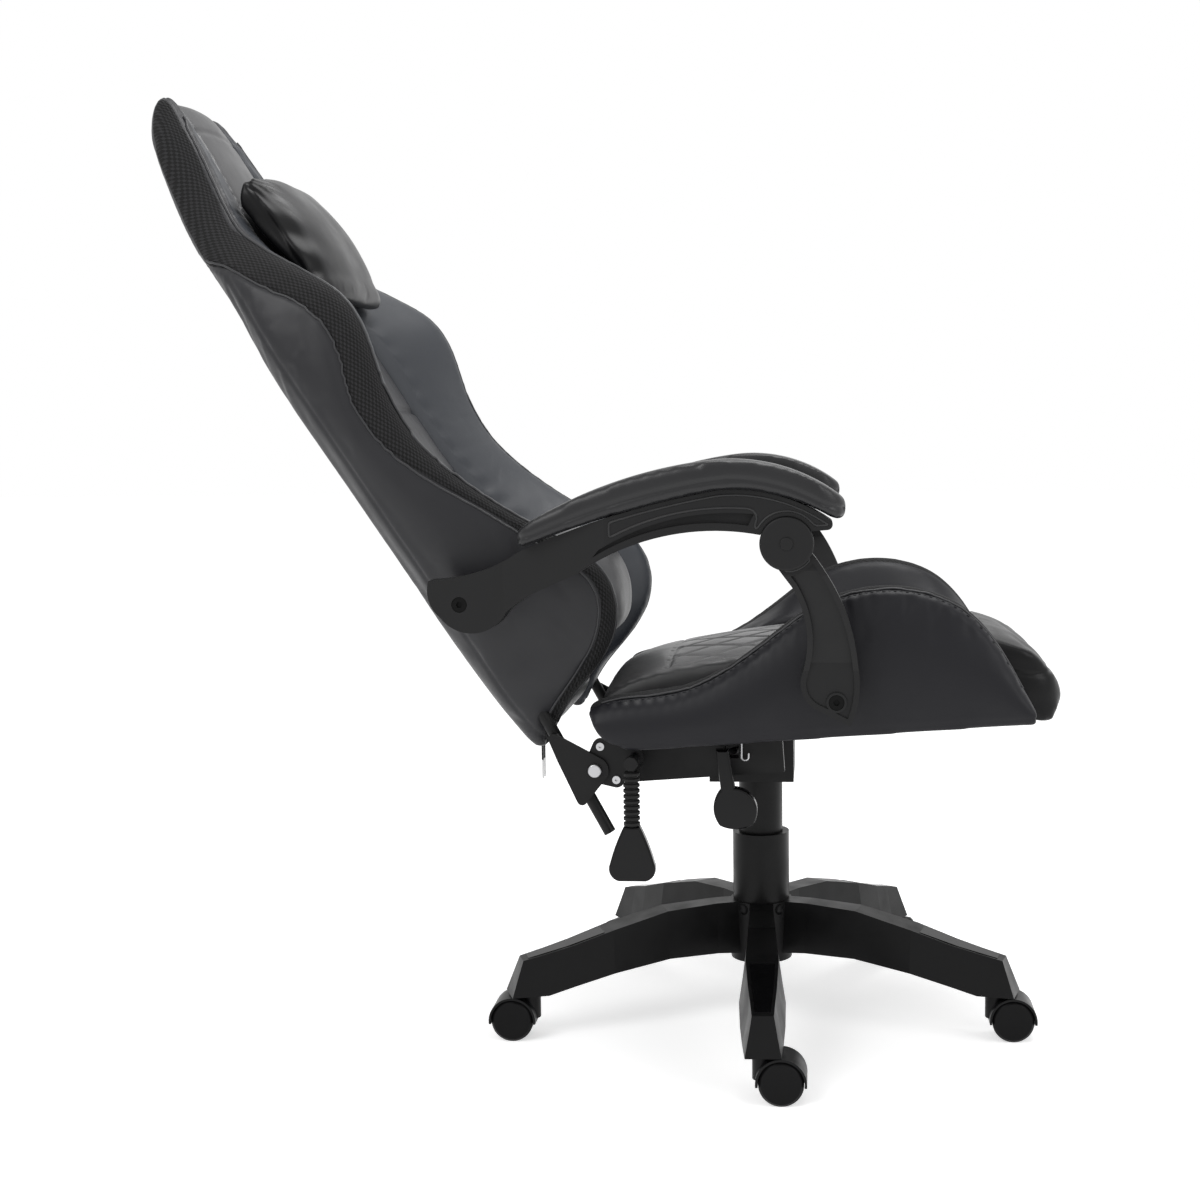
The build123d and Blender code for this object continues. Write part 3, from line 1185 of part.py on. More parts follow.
write(recline_lever_paddle.part, "recline_lever_paddle")

# A small wire hook that hangs under the seat board
with BuildPart() as spring_hook:
    hook_head = seat_point(HOOK_X, HOOK_Y, board_foot - HOOK_WIRE_R * math.sin(pitch))
    with BuildLine():
        shank = Line(hook_head, hook_head + Vector(0, 0, -HOOK_DROP))
        bend = ThreePointArc(shank @ 1, (shank @ 1) + Vector(HOOK_BEND, 0, -HOOK_BEND),
                             (shank @ 1) + Vector(2 * HOOK_BEND, 0, 0))
        Line(bend @ 1, (bend @ 1) + Vector(0, 0, HOOK_BEND))
    with BuildSketch(Plane(origin=shank @ 0, z_dir=shank % 0)):
        Circle(HOOK_WIRE_R)
    sweep()
write(spring_hook.part, "spring_hook")
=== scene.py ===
import json
import math

import bmesh
import bpy
import numpy as np
from mathutils import Matrix, Vector


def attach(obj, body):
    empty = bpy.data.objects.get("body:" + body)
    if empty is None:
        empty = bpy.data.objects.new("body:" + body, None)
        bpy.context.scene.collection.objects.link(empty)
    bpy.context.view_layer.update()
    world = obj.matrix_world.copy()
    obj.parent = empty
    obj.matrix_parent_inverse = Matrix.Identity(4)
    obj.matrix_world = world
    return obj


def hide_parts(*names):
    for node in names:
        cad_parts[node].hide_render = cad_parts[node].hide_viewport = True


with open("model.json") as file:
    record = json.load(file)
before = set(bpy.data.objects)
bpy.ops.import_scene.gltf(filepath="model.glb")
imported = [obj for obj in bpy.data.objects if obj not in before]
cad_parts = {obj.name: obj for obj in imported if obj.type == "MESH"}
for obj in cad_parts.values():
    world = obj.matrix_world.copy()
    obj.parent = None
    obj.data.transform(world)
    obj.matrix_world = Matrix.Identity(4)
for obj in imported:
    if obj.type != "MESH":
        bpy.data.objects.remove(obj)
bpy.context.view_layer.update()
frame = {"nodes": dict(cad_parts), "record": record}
scene = bpy.context.scene

# The chair's own frames of reference, in millimetres: the back leans, the seat is pitched
PIVOT_X, PIVOT_Z = -180.0, 347.0
LEAN = math.radians(58.4)
PITCH = math.radians(4.0)
SEAT_Z = 385.2

# Up the back: place, half width, rear face, front edge of the wing, front of the centre
BACK = np.array([
    (50, 164, -52, -36, -40), (64, 178, -55, -18, -26), (78, 190, -56, 6, -10), (92, 199, -57, 46, 6),
    (112, 211, -57, 91, 18), (140, 220, -57, 118, 26), (180, 226, -57, 130, 29), (225, 231, -58, 119, 24),
    (285, 236, -59, 86, 8), (350, 242, -60, 58, -8), (420, 247, -61, 41, -14), (490, 249, -63, 40, -16),
    (555, 249, -65, 52, -16), (600, 244, -66, 49, -16), (642, 232, -67, 28, -17), (690, 208, -68, 0, -20),
    (725, 184, -71, -16, -24), (780, 152, -75, -22, -26), (835, 131, -71, -19, -22),
    (880, 114, -63, -16, -19), (904, 98, -52, -16, -20), (914, 87, -38, -22, -25)], float)
# Where the outer leather panel meets the mesh band on the wing's side
WING_SEAM = np.array([
    (60, -40), (76, -25), (95, 25), (117, 77), (149, 107), (174, 118), (202, 113), (278, 75),
    (307, 62), (359, 33), (404, 11), (440, 0), (474, -3), (503, 1), (519, 9), (550, 18),
    (579, 19), (607, 11), (636, -8), (661, -27), (701, -50), (740, -90), (900, -120)], float)
# Along the seat: place, crest of the bolster
BOLSTER = np.array([
    (-180, 52), (-148, 60), (-112, 61), (-65, 67), (-14, 89), (30, 117), (75, 145), (120, 159), (165, 161),
    (205, 152), (240, 133), (272, 96), (296, 48), (312, 14)], float)
SEAT_HALF, CENTRE_HALF, BOLSTER_BAND = 255.0, 152.0, 62.0
CREST_Y = SEAT_HALF - 0.36 * BOLSTER_BAND
QUILT_REAR, QUILT_FRONT, QUILT_HALF, QUILT_PITCH, QUILT_SLOPE = -96.0, 270.0, 138.0, 74.0, 1.25
QUILT_MARGIN, QUILT_LOW = 4.0, 60.0
# The seat's front lip: where its painted shade, its sag and its folds begin
LIP_SHADE, LIP_SAG, LIP_FOLDS = 264.0, 270.0, 292.0
# The hollow in the wing's front at the waist
WAIST, WAIST_REACH, WAIST_DEPTH = 420.0, 85.0, 7.0
# Sewn channels across the middle of the back
CHANNELS = (200.0, 300.0, 395.0, 490.0, 585.0)
# The padded top of the head: where it starts and ends, its half width, and how far it is drawn up and back
HEAD_START, HEAD_TOP, HEAD_HALF = 800.0, 914.0, 88.0
HEAD_RISE, HEAD_CORNER_DROP, HEAD_SET_BACK = 29.0, 8.0, 8.0
# Just past the back's top, for curves that are kept at every whole millimetre
BACK_REACH = 950
# Directions up the back and out of its front
UP_BACK = np.array((-math.cos(LEAN), 0, math.sin(LEAN)))
FORWARD = np.array((math.sin(LEAN), 0, math.cos(LEAN)))
SIDES = (("right", 1), ("left", -1))
# The panel value of a cover without mesh
NO_MESH = -9.0
# Grain of the leatherette and threads of the mesh, per metre, and the grain's depth in metres
LEATHER_GRAIN, GRAIN_STRENGTH, GRAIN_DEPTH, WEAVE_PITCH = 900.0, 0.12, 0.0006, 1150.0
# Frames that the padding takes to swell, and the steps in which seams are pinned
CLOTH_FRAMES, PIN_LEVELS, PIN_STEP = 20, (0.34, 0.67, 1.0), 0.33
# Piping and threads in metres: radii, length of a stitch, and how far they stand off the cover
SEAM_CORD, FRONT_CORD, CREST_CORD, RIDGE_CORD = 0.0013, 0.0018, 0.0015, 0.0012
STITCH_LENGTH, STITCH_RADIUS = 0.0042, 0.0006
CORD_LIFT, THREAD_LIFT = 0.0004, 0.0003


def ramp(value, start, length):
    """Rises from 0 at a start to 1 over a length."""
    return np.clip((value - start) / length, 0, 1)


def bell(distance, width):
    """Falls from 1 towards 0 over about a width."""
    return np.exp(-(distance / width) ** 2)


def back_coords(co):
    """Up the back, across it and forward of it, in millimetres, for an array of points."""
    x = co[:, 0] * 1000 - PIVOT_X
    z = co[:, 2] * 1000 - PIVOT_Z
    u = -math.cos(LEAN) * x + math.sin(LEAN) * z
    v = math.sin(LEAN) * x + math.cos(LEAN) * z
    return u, co[:, 1] * 1000, v


def back_point(u, y, v):
    """A point of the back in metres."""
    x = PIVOT_X - math.cos(LEAN) * u + math.sin(LEAN) * v
    z = PIVOT_Z + math.sin(LEAN) * u + math.cos(LEAN) * v
    return Vector((x, y, z)) / 1000


def seat_coords(co):
    """Along the seat, across it and square to it, in millimetres."""
    x = co[:, 0] * 1000
    z = co[:, 2] * 1000 - SEAT_Z
    s = x * math.cos(PITCH) + z * math.sin(PITCH)
    n = -x * math.sin(PITCH) + z * math.cos(PITCH)
    return s, co[:, 1] * 1000, n


def seat_point(s, y, n):
    """A point of the seat in metres."""
    x = s * math.cos(PITCH) - n * math.sin(PITCH)
    z = SEAT_Z + s * math.sin(PITCH) + n * math.cos(PITCH)
    return Vector((x, y, z)) / 1000


def smooth_line(table, spread):
    """A table as a smooth curve over the back's whole millimetres."""
    reach = np.arange(-3 * spread, 3 * spread + 1)
    weight = bell(reach, spread)
    line = np.interp(np.arange(-3 * spread, BACK_REACH + 3 * spread), table[:, 0], table[:, 1])
    return np.convolve(line, weight / weight.sum(), mode="valid")


BAND_SEAM = smooth_line(WING_SEAM, 16)


def seam_at(u):
    """How far forward the wing's outer panel meets the mesh band."""
    return np.interp(u, np.arange(BACK_REACH), BAND_SEAM)


def centre_edge(u):
    """Half width of the middle of the back."""
    return 140 - 0.08 * (u - 50)


def centre_front(u):
    """How far forward the middle of the back stands."""
    return np.interp(u, BACK[:, 0], BACK[:, 4])


def bolster_crest(s):
    """How high the bolster's crest stands along the seat."""
    return np.interp(s, BOLSTER[:, 0], BOLSTER[:, 1])


def head_wrap(u):
    """Share of the crest that the head's front leather wraps over, from the neck up."""
    return 0.6 * ramp(u, 660, 80)


def wing_shape(u):
    """Half width, rear, edge and crest radius of the wing at places up the back."""
    half = np.interp(u, BACK[:, 0], BACK[:, 1])
    rear = np.interp(u, BACK[:, 0], BACK[:, 2])
    edge = np.interp(u, BACK[:, 0], BACK[:, 3])
    return half, rear, edge, np.minimum(20.0, 0.32 * (edge - rear))


# Materials: shared effects as node groups, the Principled shader in each material
def grain_group():
    """Fine grain with broad soft creases, as a height for bumps."""
    group = bpy.data.node_groups.new("leather_grain", "ShaderNodeTree")
    group.interface.new_socket("Scale", in_out="INPUT", socket_type="NodeSocketFloat")
    group.interface.new_socket("Height", in_out="OUTPUT", socket_type="NodeSocketFloat")
    nodes, links = group.nodes, group.links
    inp, out = nodes.new("NodeGroupInput"), nodes.new("NodeGroupOutput")
    coord = nodes.new("ShaderNodeTexCoord")
    cells = nodes.new("ShaderNodeTexVoronoi")
    cells.feature = "DISTANCE_TO_EDGE"
    links.new(coord.outputs["Object"], cells.inputs["Vector"])
    links.new(inp.outputs["Scale"], cells.inputs["Scale"])
    broad = nodes.new("ShaderNodeTexNoise")
    broad.inputs["Scale"].default_value = 38.0
    broad.inputs["Detail"].default_value = 3.0
    links.new(coord.outputs["Object"], broad.inputs["Vector"])
    mix = nodes.new("ShaderNodeMath")
    mix.operation = "MULTIPLY_ADD"
    mix.inputs[1].default_value = 2.2
    links.new(broad.outputs["Fac"], mix.inputs[0])
    links.new(cells.outputs["Distance"], mix.inputs[2])
    links.new(mix.outputs[0], out.inputs["Height"])
    return group


def weave_group():
    """An open weave of small diamonds, as a height between 0 and 1."""
    group = bpy.data.node_groups.new("mesh_weave", "ShaderNodeTree")
    group.interface.new_socket("Pitch", in_out="INPUT", socket_type="NodeSocketFloat")
    group.interface.new_socket("Height", in_out="OUTPUT", socket_type="NodeSocketFloat")
    nodes, links = group.nodes, group.links
    inp, out = nodes.new("NodeGroupInput"), nodes.new("NodeGroupOutput")
    thread = nodes.new("ShaderNodeAttribute")
    thread.attribute_name = "weave"
    split = nodes.new("ShaderNodeSeparateXYZ")
    links.new(thread.outputs["Vector"], split.inputs[0])
    both = nodes.new("ShaderNodeMath")
    for way in (0, 1):
        slant = nodes.new("ShaderNodeMath")
        slant.operation = "MULTIPLY_ADD"
        slant.inputs[1].default_value = 0.7 if way else -0.7
        links.new(split.outputs["X"], slant.inputs[0])
        links.new(split.outputs["Y"], slant.inputs[2])
        turn = nodes.new("ShaderNodeMath")
        turn.operation = "MULTIPLY"
        links.new(slant.outputs[0], turn.inputs[0])
        links.new(inp.outputs["Pitch"], turn.inputs[1])
        wave = nodes.new("ShaderNodeMath")
        wave.operation = "COSINE"
        links.new(turn.outputs[0], wave.inputs[0])
        links.new(wave.outputs[0], both.inputs[way])
    level = nodes.new("ShaderNodeMapRange")
    level.inputs["From Min"].default_value = -0.5
    level.inputs["From Max"].default_value = 0.7
    links.new(both.outputs[0], level.inputs["Value"])
    links.new(level.outputs["Result"], out.inputs["Height"])
    return group


GRAIN = grain_group()
WEAVE = weave_group()


def shader(name):
    """A new node material with its Principled shader."""
    mat = bpy.data.materials.new(name)
    mat.use_nodes = True
    return mat, mat.node_tree.nodes, mat.node_tree.links, mat.node_tree.nodes["Principled BSDF"]


def bump(nodes, links, height, strength, distance, target):
    """A bump from a height socket into a shader's normal."""
    node = nodes.new("ShaderNodeBump")
    node.inputs["Strength"].default_value = strength
    node.inputs["Distance"].default_value = distance
    links.new(height, node.inputs["Height"])
    links.new(node.outputs["Normal"], target.inputs["Normal"])


def worn(nodes, links, low, high, scale, target):
    """Uneven roughness from a soft noise."""
    coord = nodes.new("ShaderNodeTexCoord")
    noise = nodes.new("ShaderNodeTexNoise")
    noise.inputs["Scale"].default_value = scale
    noise.inputs["Detail"].default_value = 4.0
    links.new(coord.outputs["Object"], noise.inputs["Vector"])
    spread = nodes.new("ShaderNodeMapRange")
    spread.inputs["From Min"].default_value = 0.3
    spread.inputs["From Max"].default_value = 0.7
    spread.inputs["To Min"].default_value = low
    spread.inputs["To Max"].default_value = high
    links.new(noise.outputs["Fac"], spread.inputs["Value"])
    links.new(spread.outputs["Result"], target.inputs["Roughness"])


def blend(nodes, links, factor, first, second, target):
    """A colour between two, by a factor socket, into a shader's base colour."""
    mix = nodes.new("ShaderNodeMix")
    mix.data_type = "RGBA"
    mix.inputs["A"].default_value = first
    mix.inputs["B"].default_value = second
    links.new(factor, mix.inputs["Factor"])
    links.new(mix.outputs["Result"], target.inputs["Base Color"])


def attribute(nodes, name):
    """The value of a named attribute of the mesh, as a socket."""
    node = nodes.new("ShaderNodeAttribute")
    node.attribute_name = name
    return node.outputs["Fac"]


def leather(name, color, low, high, scale=LEATHER_GRAIN, strength=GRAIN_STRENGTH, shine=0.32):
    """Leatherette with grain."""
    mat, nodes, links, bsdf = shader(name)
    bsdf.inputs["Base Color"].default_value = (*color, 1)
    bsdf.inputs["Specular IOR Level"].default_value = shine
    worn(nodes, links, low, high, 24.0, bsdf)
    grain = nodes.new("ShaderNodeGroup")
    grain.node_tree = GRAIN
    grain.inputs["Scale"].default_value = scale
    bump(nodes, links, grain.outputs["Height"], strength, GRAIN_DEPTH, bsdf)
    return mat


def paint_shade_front(mat, color):
    """Paints shade on a leather: a darker, duller tone where the panel attribute is above zero."""
    nodes, links = mat.node_tree.nodes, mat.node_tree.links
    bsdf = nodes["Principled BSDF"]
    front = attribute(nodes, "panel")
    blend(nodes, links, front, bsdf.inputs["Base Color"].default_value, (*color, 1), bsdf)
    sheen = nodes.new("ShaderNodeMapRange")
    sheen.inputs["To Min"].default_value = bsdf.inputs["Specular IOR Level"].default_value
    sheen.inputs["To Max"].default_value = 0.16
    links.new(front, sheen.inputs["Value"])
    links.new(sheen.outputs["Result"], bsdf.inputs["Specular IOR Level"])


def two_panel(name, color, low, high, weave_color, shine=0.32, lit_inner_color=None):
    """Leatherette where the panel attribute is below zero and woven mesh where it is above."""
    mat = leather(name, color, low, high, shine=shine)
    nodes, links = mat.node_tree.nodes, mat.node_tree.links
    bsdf = nodes["Principled BSDF"]
    mesh = nodes.new("ShaderNodeBsdfPrincipled")
    mesh.inputs["Roughness"].default_value = 0.8
    mesh.inputs["Specular IOR Level"].default_value = 0.25
    weave = nodes.new("ShaderNodeGroup")
    weave.node_tree = WEAVE
    weave.inputs["Pitch"].default_value = WEAVE_PITCH
    bump(nodes, links, weave.outputs["Height"], 0.9, 0.0012, mesh)
    blend(nodes, links, weave.outputs["Height"], (0.002, 0.002, 0.002, 1), (*weave_color, 1), mesh)
    # Painted highlight: the leather turns lighter and bluer where the inside attribute marks the wing's inner
    # face
    if lit_inner_color:
        blend(nodes, links, attribute(nodes, "inside"), (*color, 1), (*lit_inner_color, 1), bsdf)
    edge = nodes.new("ShaderNodeMapRange")
    edge.inputs["From Min"].default_value = -0.5
    edge.inputs["From Max"].default_value = 0.5
    links.new(attribute(nodes, "panel"), edge.inputs["Value"])
    mix = nodes.new("ShaderNodeMixShader")
    links.new(edge.outputs["Result"], mix.inputs["Fac"])
    links.new(bsdf.outputs["BSDF"], mix.inputs[1])
    links.new(mesh.outputs["BSDF"], mix.inputs[2])
    links.new(mix.outputs["Shader"], nodes["Material Output"].inputs["Surface"])
    return mat


def plain(name, color, low, high, metallic=0.0, texture=0.0, scale=900.0, shine=0.2):
    """Plastic, rubber or metal with uneven gloss and an optional moulded texture."""
    mat, nodes, links, bsdf = shader(name)
    bsdf.inputs["Base Color"].default_value = (*color, 1)
    bsdf.inputs["Metallic"].default_value = metallic
    bsdf.inputs["Specular IOR Level"].default_value = shine
    worn(nodes, links, low, high, 30.0, bsdf)
    if texture:
        coord = nodes.new("ShaderNodeTexCoord")
        noise = nodes.new("ShaderNodeTexNoise")
        noise.inputs["Scale"].default_value = scale
        links.new(coord.outputs["Object"], noise.inputs["Vector"])
        bump(nodes, links, noise.outputs["Fac"], texture, 0.0005, bsdf)
    return mat


def two_tone(name, color, tip, height):
    """Woven tape with pale tips below a height."""
    mat, nodes, links, bsdf = shader(name)
    bsdf.inputs["Roughness"].default_value = 0.6
    coord = nodes.new("ShaderNodeTexCoord")
    split = nodes.new("ShaderNodeSeparateXYZ")
    links.new(coord.outputs["Object"], split.inputs[0])
    below = nodes.new("ShaderNodeMath")
    below.operation = "LESS_THAN"
    below.inputs[1].default_value = height
    links.new(split.outputs["Z"], below.inputs[0])
    blend(nodes, links, below.outputs[0], (*color, 1), (*tip, 1), bsdf)
    return mat


# The wing's inner colour is a painted highlight on the leather of the wing's inner face
M_WING = two_panel("wing_leather_and_mesh", (0.0092, 0.0092, 0.0112), 0.36, 0.5, (0.016, 0.016, 0.017),
                   lit_inner_color=(0.024, 0.027, 0.033))
M_BOLSTER = two_panel("bolster_leather_and_mesh", (0.0066, 0.0066, 0.0085), 0.38, 0.52, (0.008, 0.008, 0.009),
                      shine=0.2)
M_LEATHER = leather("back_leather", (0.009, 0.009, 0.0115), 0.34, 0.48, shine=0.36)
# The head's leather is the back's leatherette painted lighter, a painted highlight for the light on the
# head's front
M_HEAD_LIT = leather("head_leather_lit", (0.026, 0.026, 0.028), 0.3, 0.42, shine=0.5)
# The seat's leather is painted lighter, a painted sheen for the light its top reflects; the lip gets painted
# shade
M_SEAT_LIT = leather("seat_leather_lit", (0.03, 0.03, 0.031), 0.28, 0.4, shine=0.6)
paint_shade_front(M_SEAT_LIT, (0.003, 0.003, 0.0033))
M_PILLOW = leather("pillow_leather", (0.012, 0.012, 0.013), 0.3, 0.42, 700.0, 0.1, 0.34)
# Painted shade on the head pillow's ends
paint_shade_front(M_PILLOW, (0.003, 0.003, 0.0034))
# The lumbar pillow's leather is painted lighter than the head pillow's, a painted sheen for the light it
# reflects
M_LUMBAR_LIT = leather("lumbar_leather_lit", (0.026, 0.026, 0.028), 0.34, 0.46, shine=0.5)
M_ARM_PAD = leather("arm_pad_skin", (0.008, 0.008, 0.009), 0.3, 0.4, 1400.0, 0.08, 0.34)
M_ARM = plain("arm_plastic", (0.007, 0.007, 0.0073), 0.4, 0.52, texture=0.18, scale=1500.0, shine=0.2)
# The raised outlines are the arm's plastic painted lighter, a painted highlight along their edges
M_RIDGE_LIT = plain("arm_ridge_lit", (0.016, 0.016, 0.0165), 0.34, 0.46, shine=0.3)
M_NYLON = plain("base_nylon", (0.004, 0.004, 0.0042), 0.3, 0.44, texture=0.1, scale=1200.0, shine=0.14)
M_GLOSS = plain("gloss_plastic", (0.003, 0.003, 0.0033), 0.12, 0.22, shine=0.17)
M_WHEEL = plain("wheel_nylon", (0.004, 0.004, 0.0042), 0.3, 0.42, shine=0.1)
M_STEEL = plain("painted_steel", (0.005, 0.005, 0.0052), 0.34, 0.5, texture=0.08, shine=0.18)
M_BRIGHT = plain("bright_steel", (0.42, 0.42, 0.43), 0.2, 0.36, metallic=1.0, shine=0.5)
M_DARK_BOLT = plain("dark_bolt", (0.002, 0.002, 0.002), 0.4, 0.55, shine=0.1)
M_WOOD = plain("plywood", (0.02, 0.019, 0.018), 0.6, 0.8)
M_RUBBER = plain("sleeve_rubber", (0.006, 0.006, 0.006), 0.4, 0.55)
M_THREAD = plain("thread", (0.03, 0.03, 0.032), 0.5, 0.65)
M_PIPING = plain("piping_leather", (0.018, 0.018, 0.02), 0.34, 0.46, shine=0.4)
zip_z = [vert.co.z for vert in frame["nodes"]["zip_pulls"].data.vertices]
zip_tip = min(zip_z) + 0.4 * (max(zip_z) - min(zip_z))
M_TAPE = two_tone("zip_tape_and_tips", (0.006, 0.006, 0.006), (0.75, 0.75, 0.75), zip_tip)

BY_SLOT = {
    "nylon_black": M_NYLON, "gloss_black": M_GLOSS, "wheel_black": M_WHEEL, "bright_steel": M_BRIGHT,
    "painted_steel": M_STEEL, "plywood": M_WOOD, "padded_leatherette": M_LEATHER, "pillow_satin": M_PILLOW,
    "soft_arm_pad": M_ARM_PAD, "arm_plastic": M_ARM, "sleeve_rubber": M_RUBBER, "zip_tape": M_TAPE,
}
for part in frame["record"]["subparts"]:
    node = frame["nodes"][part["node"]]
    node.data.materials.clear()
    node.data.materials.append(BY_SLOT[part["material_slot"]])
for name in ("arm_bolts", "strut_bolts"):
    frame["nodes"][name].data.materials[0] = M_DARK_BOLT


def new_object(name, mesh):
    """A new object at the origin, linked to the scene."""
    obj = bpy.data.objects.new(name, mesh)
    scene.collection.objects.link(obj)
    return obj


def baked(obj):
    """Applies an object's modifiers to its mesh."""
    graph = bpy.context.evaluated_depsgraph_get()
    mesh = bpy.data.meshes.new_from_object(obj.evaluated_get(graph))
    obj.modifiers.clear()
    obj.data = mesh


def get_points(mesh):
    """Vertices of a mesh as an array."""
    co = np.empty(len(mesh.vertices) * 3)
    mesh.vertices.foreach_get("co", co)
    return co.reshape(-1, 3)


def set_points(mesh, co):
    """Writes vertices back."""
    mesh.vertices.foreach_set("co", co.reshape(-1))
    mesh.update()


def get_normals(mesh):
    """Vertex normals of a mesh as an array."""
    no = np.empty(len(mesh.vertices) * 3)
    mesh.vertex_normals.foreach_get("vector", no)
    return no.reshape(-1, 3)


def relax(mesh, rounds):
    """Smooths a mesh a little."""
    work = bmesh.new()
    work.from_mesh(mesh)
    for _ in range(rounds):
        bmesh.ops.smooth_vert(work, verts=work.verts, factor=0.5,
                              use_axis_x=True, use_axis_y=True, use_axis_z=True)
    work.to_mesh(mesh)
    work.free()


def swell(obj, pin, cap, pressure):
    """Blows a padded piece up between its pinned seams, as cloth over foam."""
    start = get_points(obj.data)
    weights = pin(start)
    group = obj.vertex_groups.new(name="pin")
    for level in PIN_LEVELS:
        chosen = np.nonzero((weights > level - PIN_STEP) & (weights <= level + 0.001))[0]
        if len(chosen):
            group.add([int(i) for i in chosen], level, "REPLACE")
    mod = obj.modifiers.new("cloth", "CLOTH")
    mod.settings.quality = 4
    mod.settings.mass = 0.4
    mod.settings.tension_stiffness = 12
    mod.settings.compression_stiffness = 12
    mod.settings.bending_stiffness = 0.4
    mod.settings.use_pressure = True
    mod.settings.uniform_pressure_force = pressure
    mod.settings.effector_weights.gravity = 0
    mod.settings.vertex_group_mass = "pin"
    mod.collision_settings.use_collision = False
    mod.point_cache.frame_start = 1
    mod.point_cache.frame_end = CLOTH_FRAMES
    for step in range(1, CLOTH_FRAMES + 1):
        scene.frame_set(step)
    graph = bpy.context.evaluated_depsgraph_get()
    after = get_points(obj.evaluated_get(graph).data)
    obj.modifiers.clear()
    obj.vertex_groups.clear()
    scene.frame_set(1)
    move = after - start
    length = np.linalg.norm(move, axis=1)
    limit = np.minimum(1.0, cap / np.maximum(length, 1e-9)) * (1 - np.minimum(weights, 1.0))
    set_points(obj.data, start + move * limit[:, None])


def declare(obj, body, mat):
    """Dresses an added piece and says which body it rides on."""
    obj.data.materials.clear()
    obj.data.materials.append(mat)
    obj.data.polygons.foreach_set("use_smooth", [True] * len(obj.data.polygons))
    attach(obj, body)


def finish_soft(obj, node, body, mat):
    """Declares a padded piece, which stands in for a CAD node."""
    declare(obj, body, mat)
    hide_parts(node)


def soft(name, node, body, mat, pin, shape, voxel=0.0055, cap=0.006, pressure=4.0, smooth=3):
    """A padded piece made from its CAD solid: remeshed, swollen, subdivided, then seamed."""
    obj = new_object(name, frame["nodes"][node].data.copy())
    mod = obj.modifiers.new("remesh", "REMESH")
    mod.mode = "VOXEL"
    mod.voxel_size = voxel
    baked(obj)
    relax(obj.data, smooth)
    swell(obj, pin, cap, pressure)
    mod = obj.modifiers.new("subdivide", "SUBSURF")
    mod.levels = mod.render_levels = 1
    baked(obj)
    co = get_points(obj.data)
    moved, panel = shape(co, get_normals(obj.data))
    set_points(obj.data, moved)
    obj.data.attributes.new("panel", "FLOAT", "POINT").data.foreach_set("value", panel)
    along, across, out = back_coords(co) if body == "back" else seat_coords(co)
    thread = np.stack((along, out - np.abs(across), np.zeros(len(co))), axis=1) / 1000
    obj.data.attributes.new("weave", "FLOAT_VECTOR", "POINT").data.foreach_set("vector", thread.reshape(-1))
    finish_soft(obj, node, body, mat)
    return obj


def other_side(obj, name, node, body, mat):
    """The mirrored twin of a padded piece."""
    mesh = obj.data.copy()
    mesh.transform(Matrix.Scale(-1, 4, (0, 1, 0)))
    mesh.flip_normals()
    twin = new_object(name, mesh)
    finish_soft(twin, node, body, mat)


def groove(distance, width, depth):
    """A sewn-in line: depth of the dip at a distance from it, both in millimetres."""
    return -depth * bell(distance, width)


def press(co, normal, amount):
    """Moves points along their normals by an amount in millimetres."""
    return co + normal * (amount / 1000)[:, None]


def pucker(place, distance, pitch, reach, depth):
    """Small gathers that run out from a sewn line."""
    return depth * np.sin(2 * math.pi * place / pitch) * bell(distance, reach)


def round_head(co):
    """Draws the padded top of the head up and back, and rounds it towards its corners."""
    u, y, v = back_coords(co)
    near_top = ramp(u, HEAD_START, HEAD_TOP - HEAD_START) ** 1.5
    rise = near_top * (HEAD_RISE - HEAD_CORNER_DROP * np.clip(np.abs(y) / HEAD_HALF, 0, 1.2) ** 4)
    back = near_top * HEAD_SET_BACK * ramp(v, -55, 35)
    back += HEAD_SET_BACK * ramp(u, 640, 100) * ramp(-v, 40, 20)
    return co + (np.outer(rise, UP_BACK) - np.outer(back, FORWARD)) / 1000


# The wings of the back
def wing_marks(co):
    """Where points lie on a wing, its shape there, and distances from its seam, crest and inner edge."""
    u, y, v = back_coords(co)
    half, rear, edge, crest = wing_shape(u)
    tilt = np.sqrt(1 + np.interp(u, np.arange(BACK_REACH), np.gradient(BAND_SEAM)) ** 2)
    seam = (v - seam_at(u)) / tilt
    side = np.abs(y) - (half - crest)
    inner = np.abs(y) - centre_edge(u)
    return u, y, v, half, rear, edge, seam, side, inner


def wing_pin(co):
    """Holds a wing at its joint with the middle, along its band and along its crest."""
    _, _, v, _, _, edge, seam, side, inner = wing_marks(co)
    band = np.where(side > 0, bell(seam, 5), 0)
    crest = np.where(v > edge - 12, bell(side, 6), 0)
    return np.clip(bell(inner, 9) + (band + crest), 0, 1)


def wing_form(co, normal):
    """Sews a wing's seams, gathers the leather beside them and hollows the waist."""
    u, y, v, half, rear, edge, seam, side, inner = wing_marks(co)
    outside = side > -2
    front = v > rear + 0.55 * (edge - rear)
    amount = np.where(outside & (np.abs(seam) < 15), groove(seam, width=2.6, depth=1.8), 0)
    amount += np.where(outside, pucker(u, seam - 7, pitch=23.0, reach=9, depth=0.25), 0)
    amount += np.where(np.abs(y) > half - 30, groove(v - rear - 17, width=2.4, depth=1.2), 0)
    amount += np.where(front, groove(side, width=2.6, depth=1.2), 0)
    amount += np.where(front & (inner > 4), pucker(u, inner - 14, pitch=31.0, reach=16, depth=0.5), 0)
    amount -= np.where(front, WAIST_DEPTH * bell(u - WAIST, WAIST_REACH) * ramp(v, edge - 40, 40), 0)
    panel = np.minimum(seam, side + 1 - (half - np.abs(y) + side) * head_wrap(u))
    return round_head(press(co, normal, amount)), panel


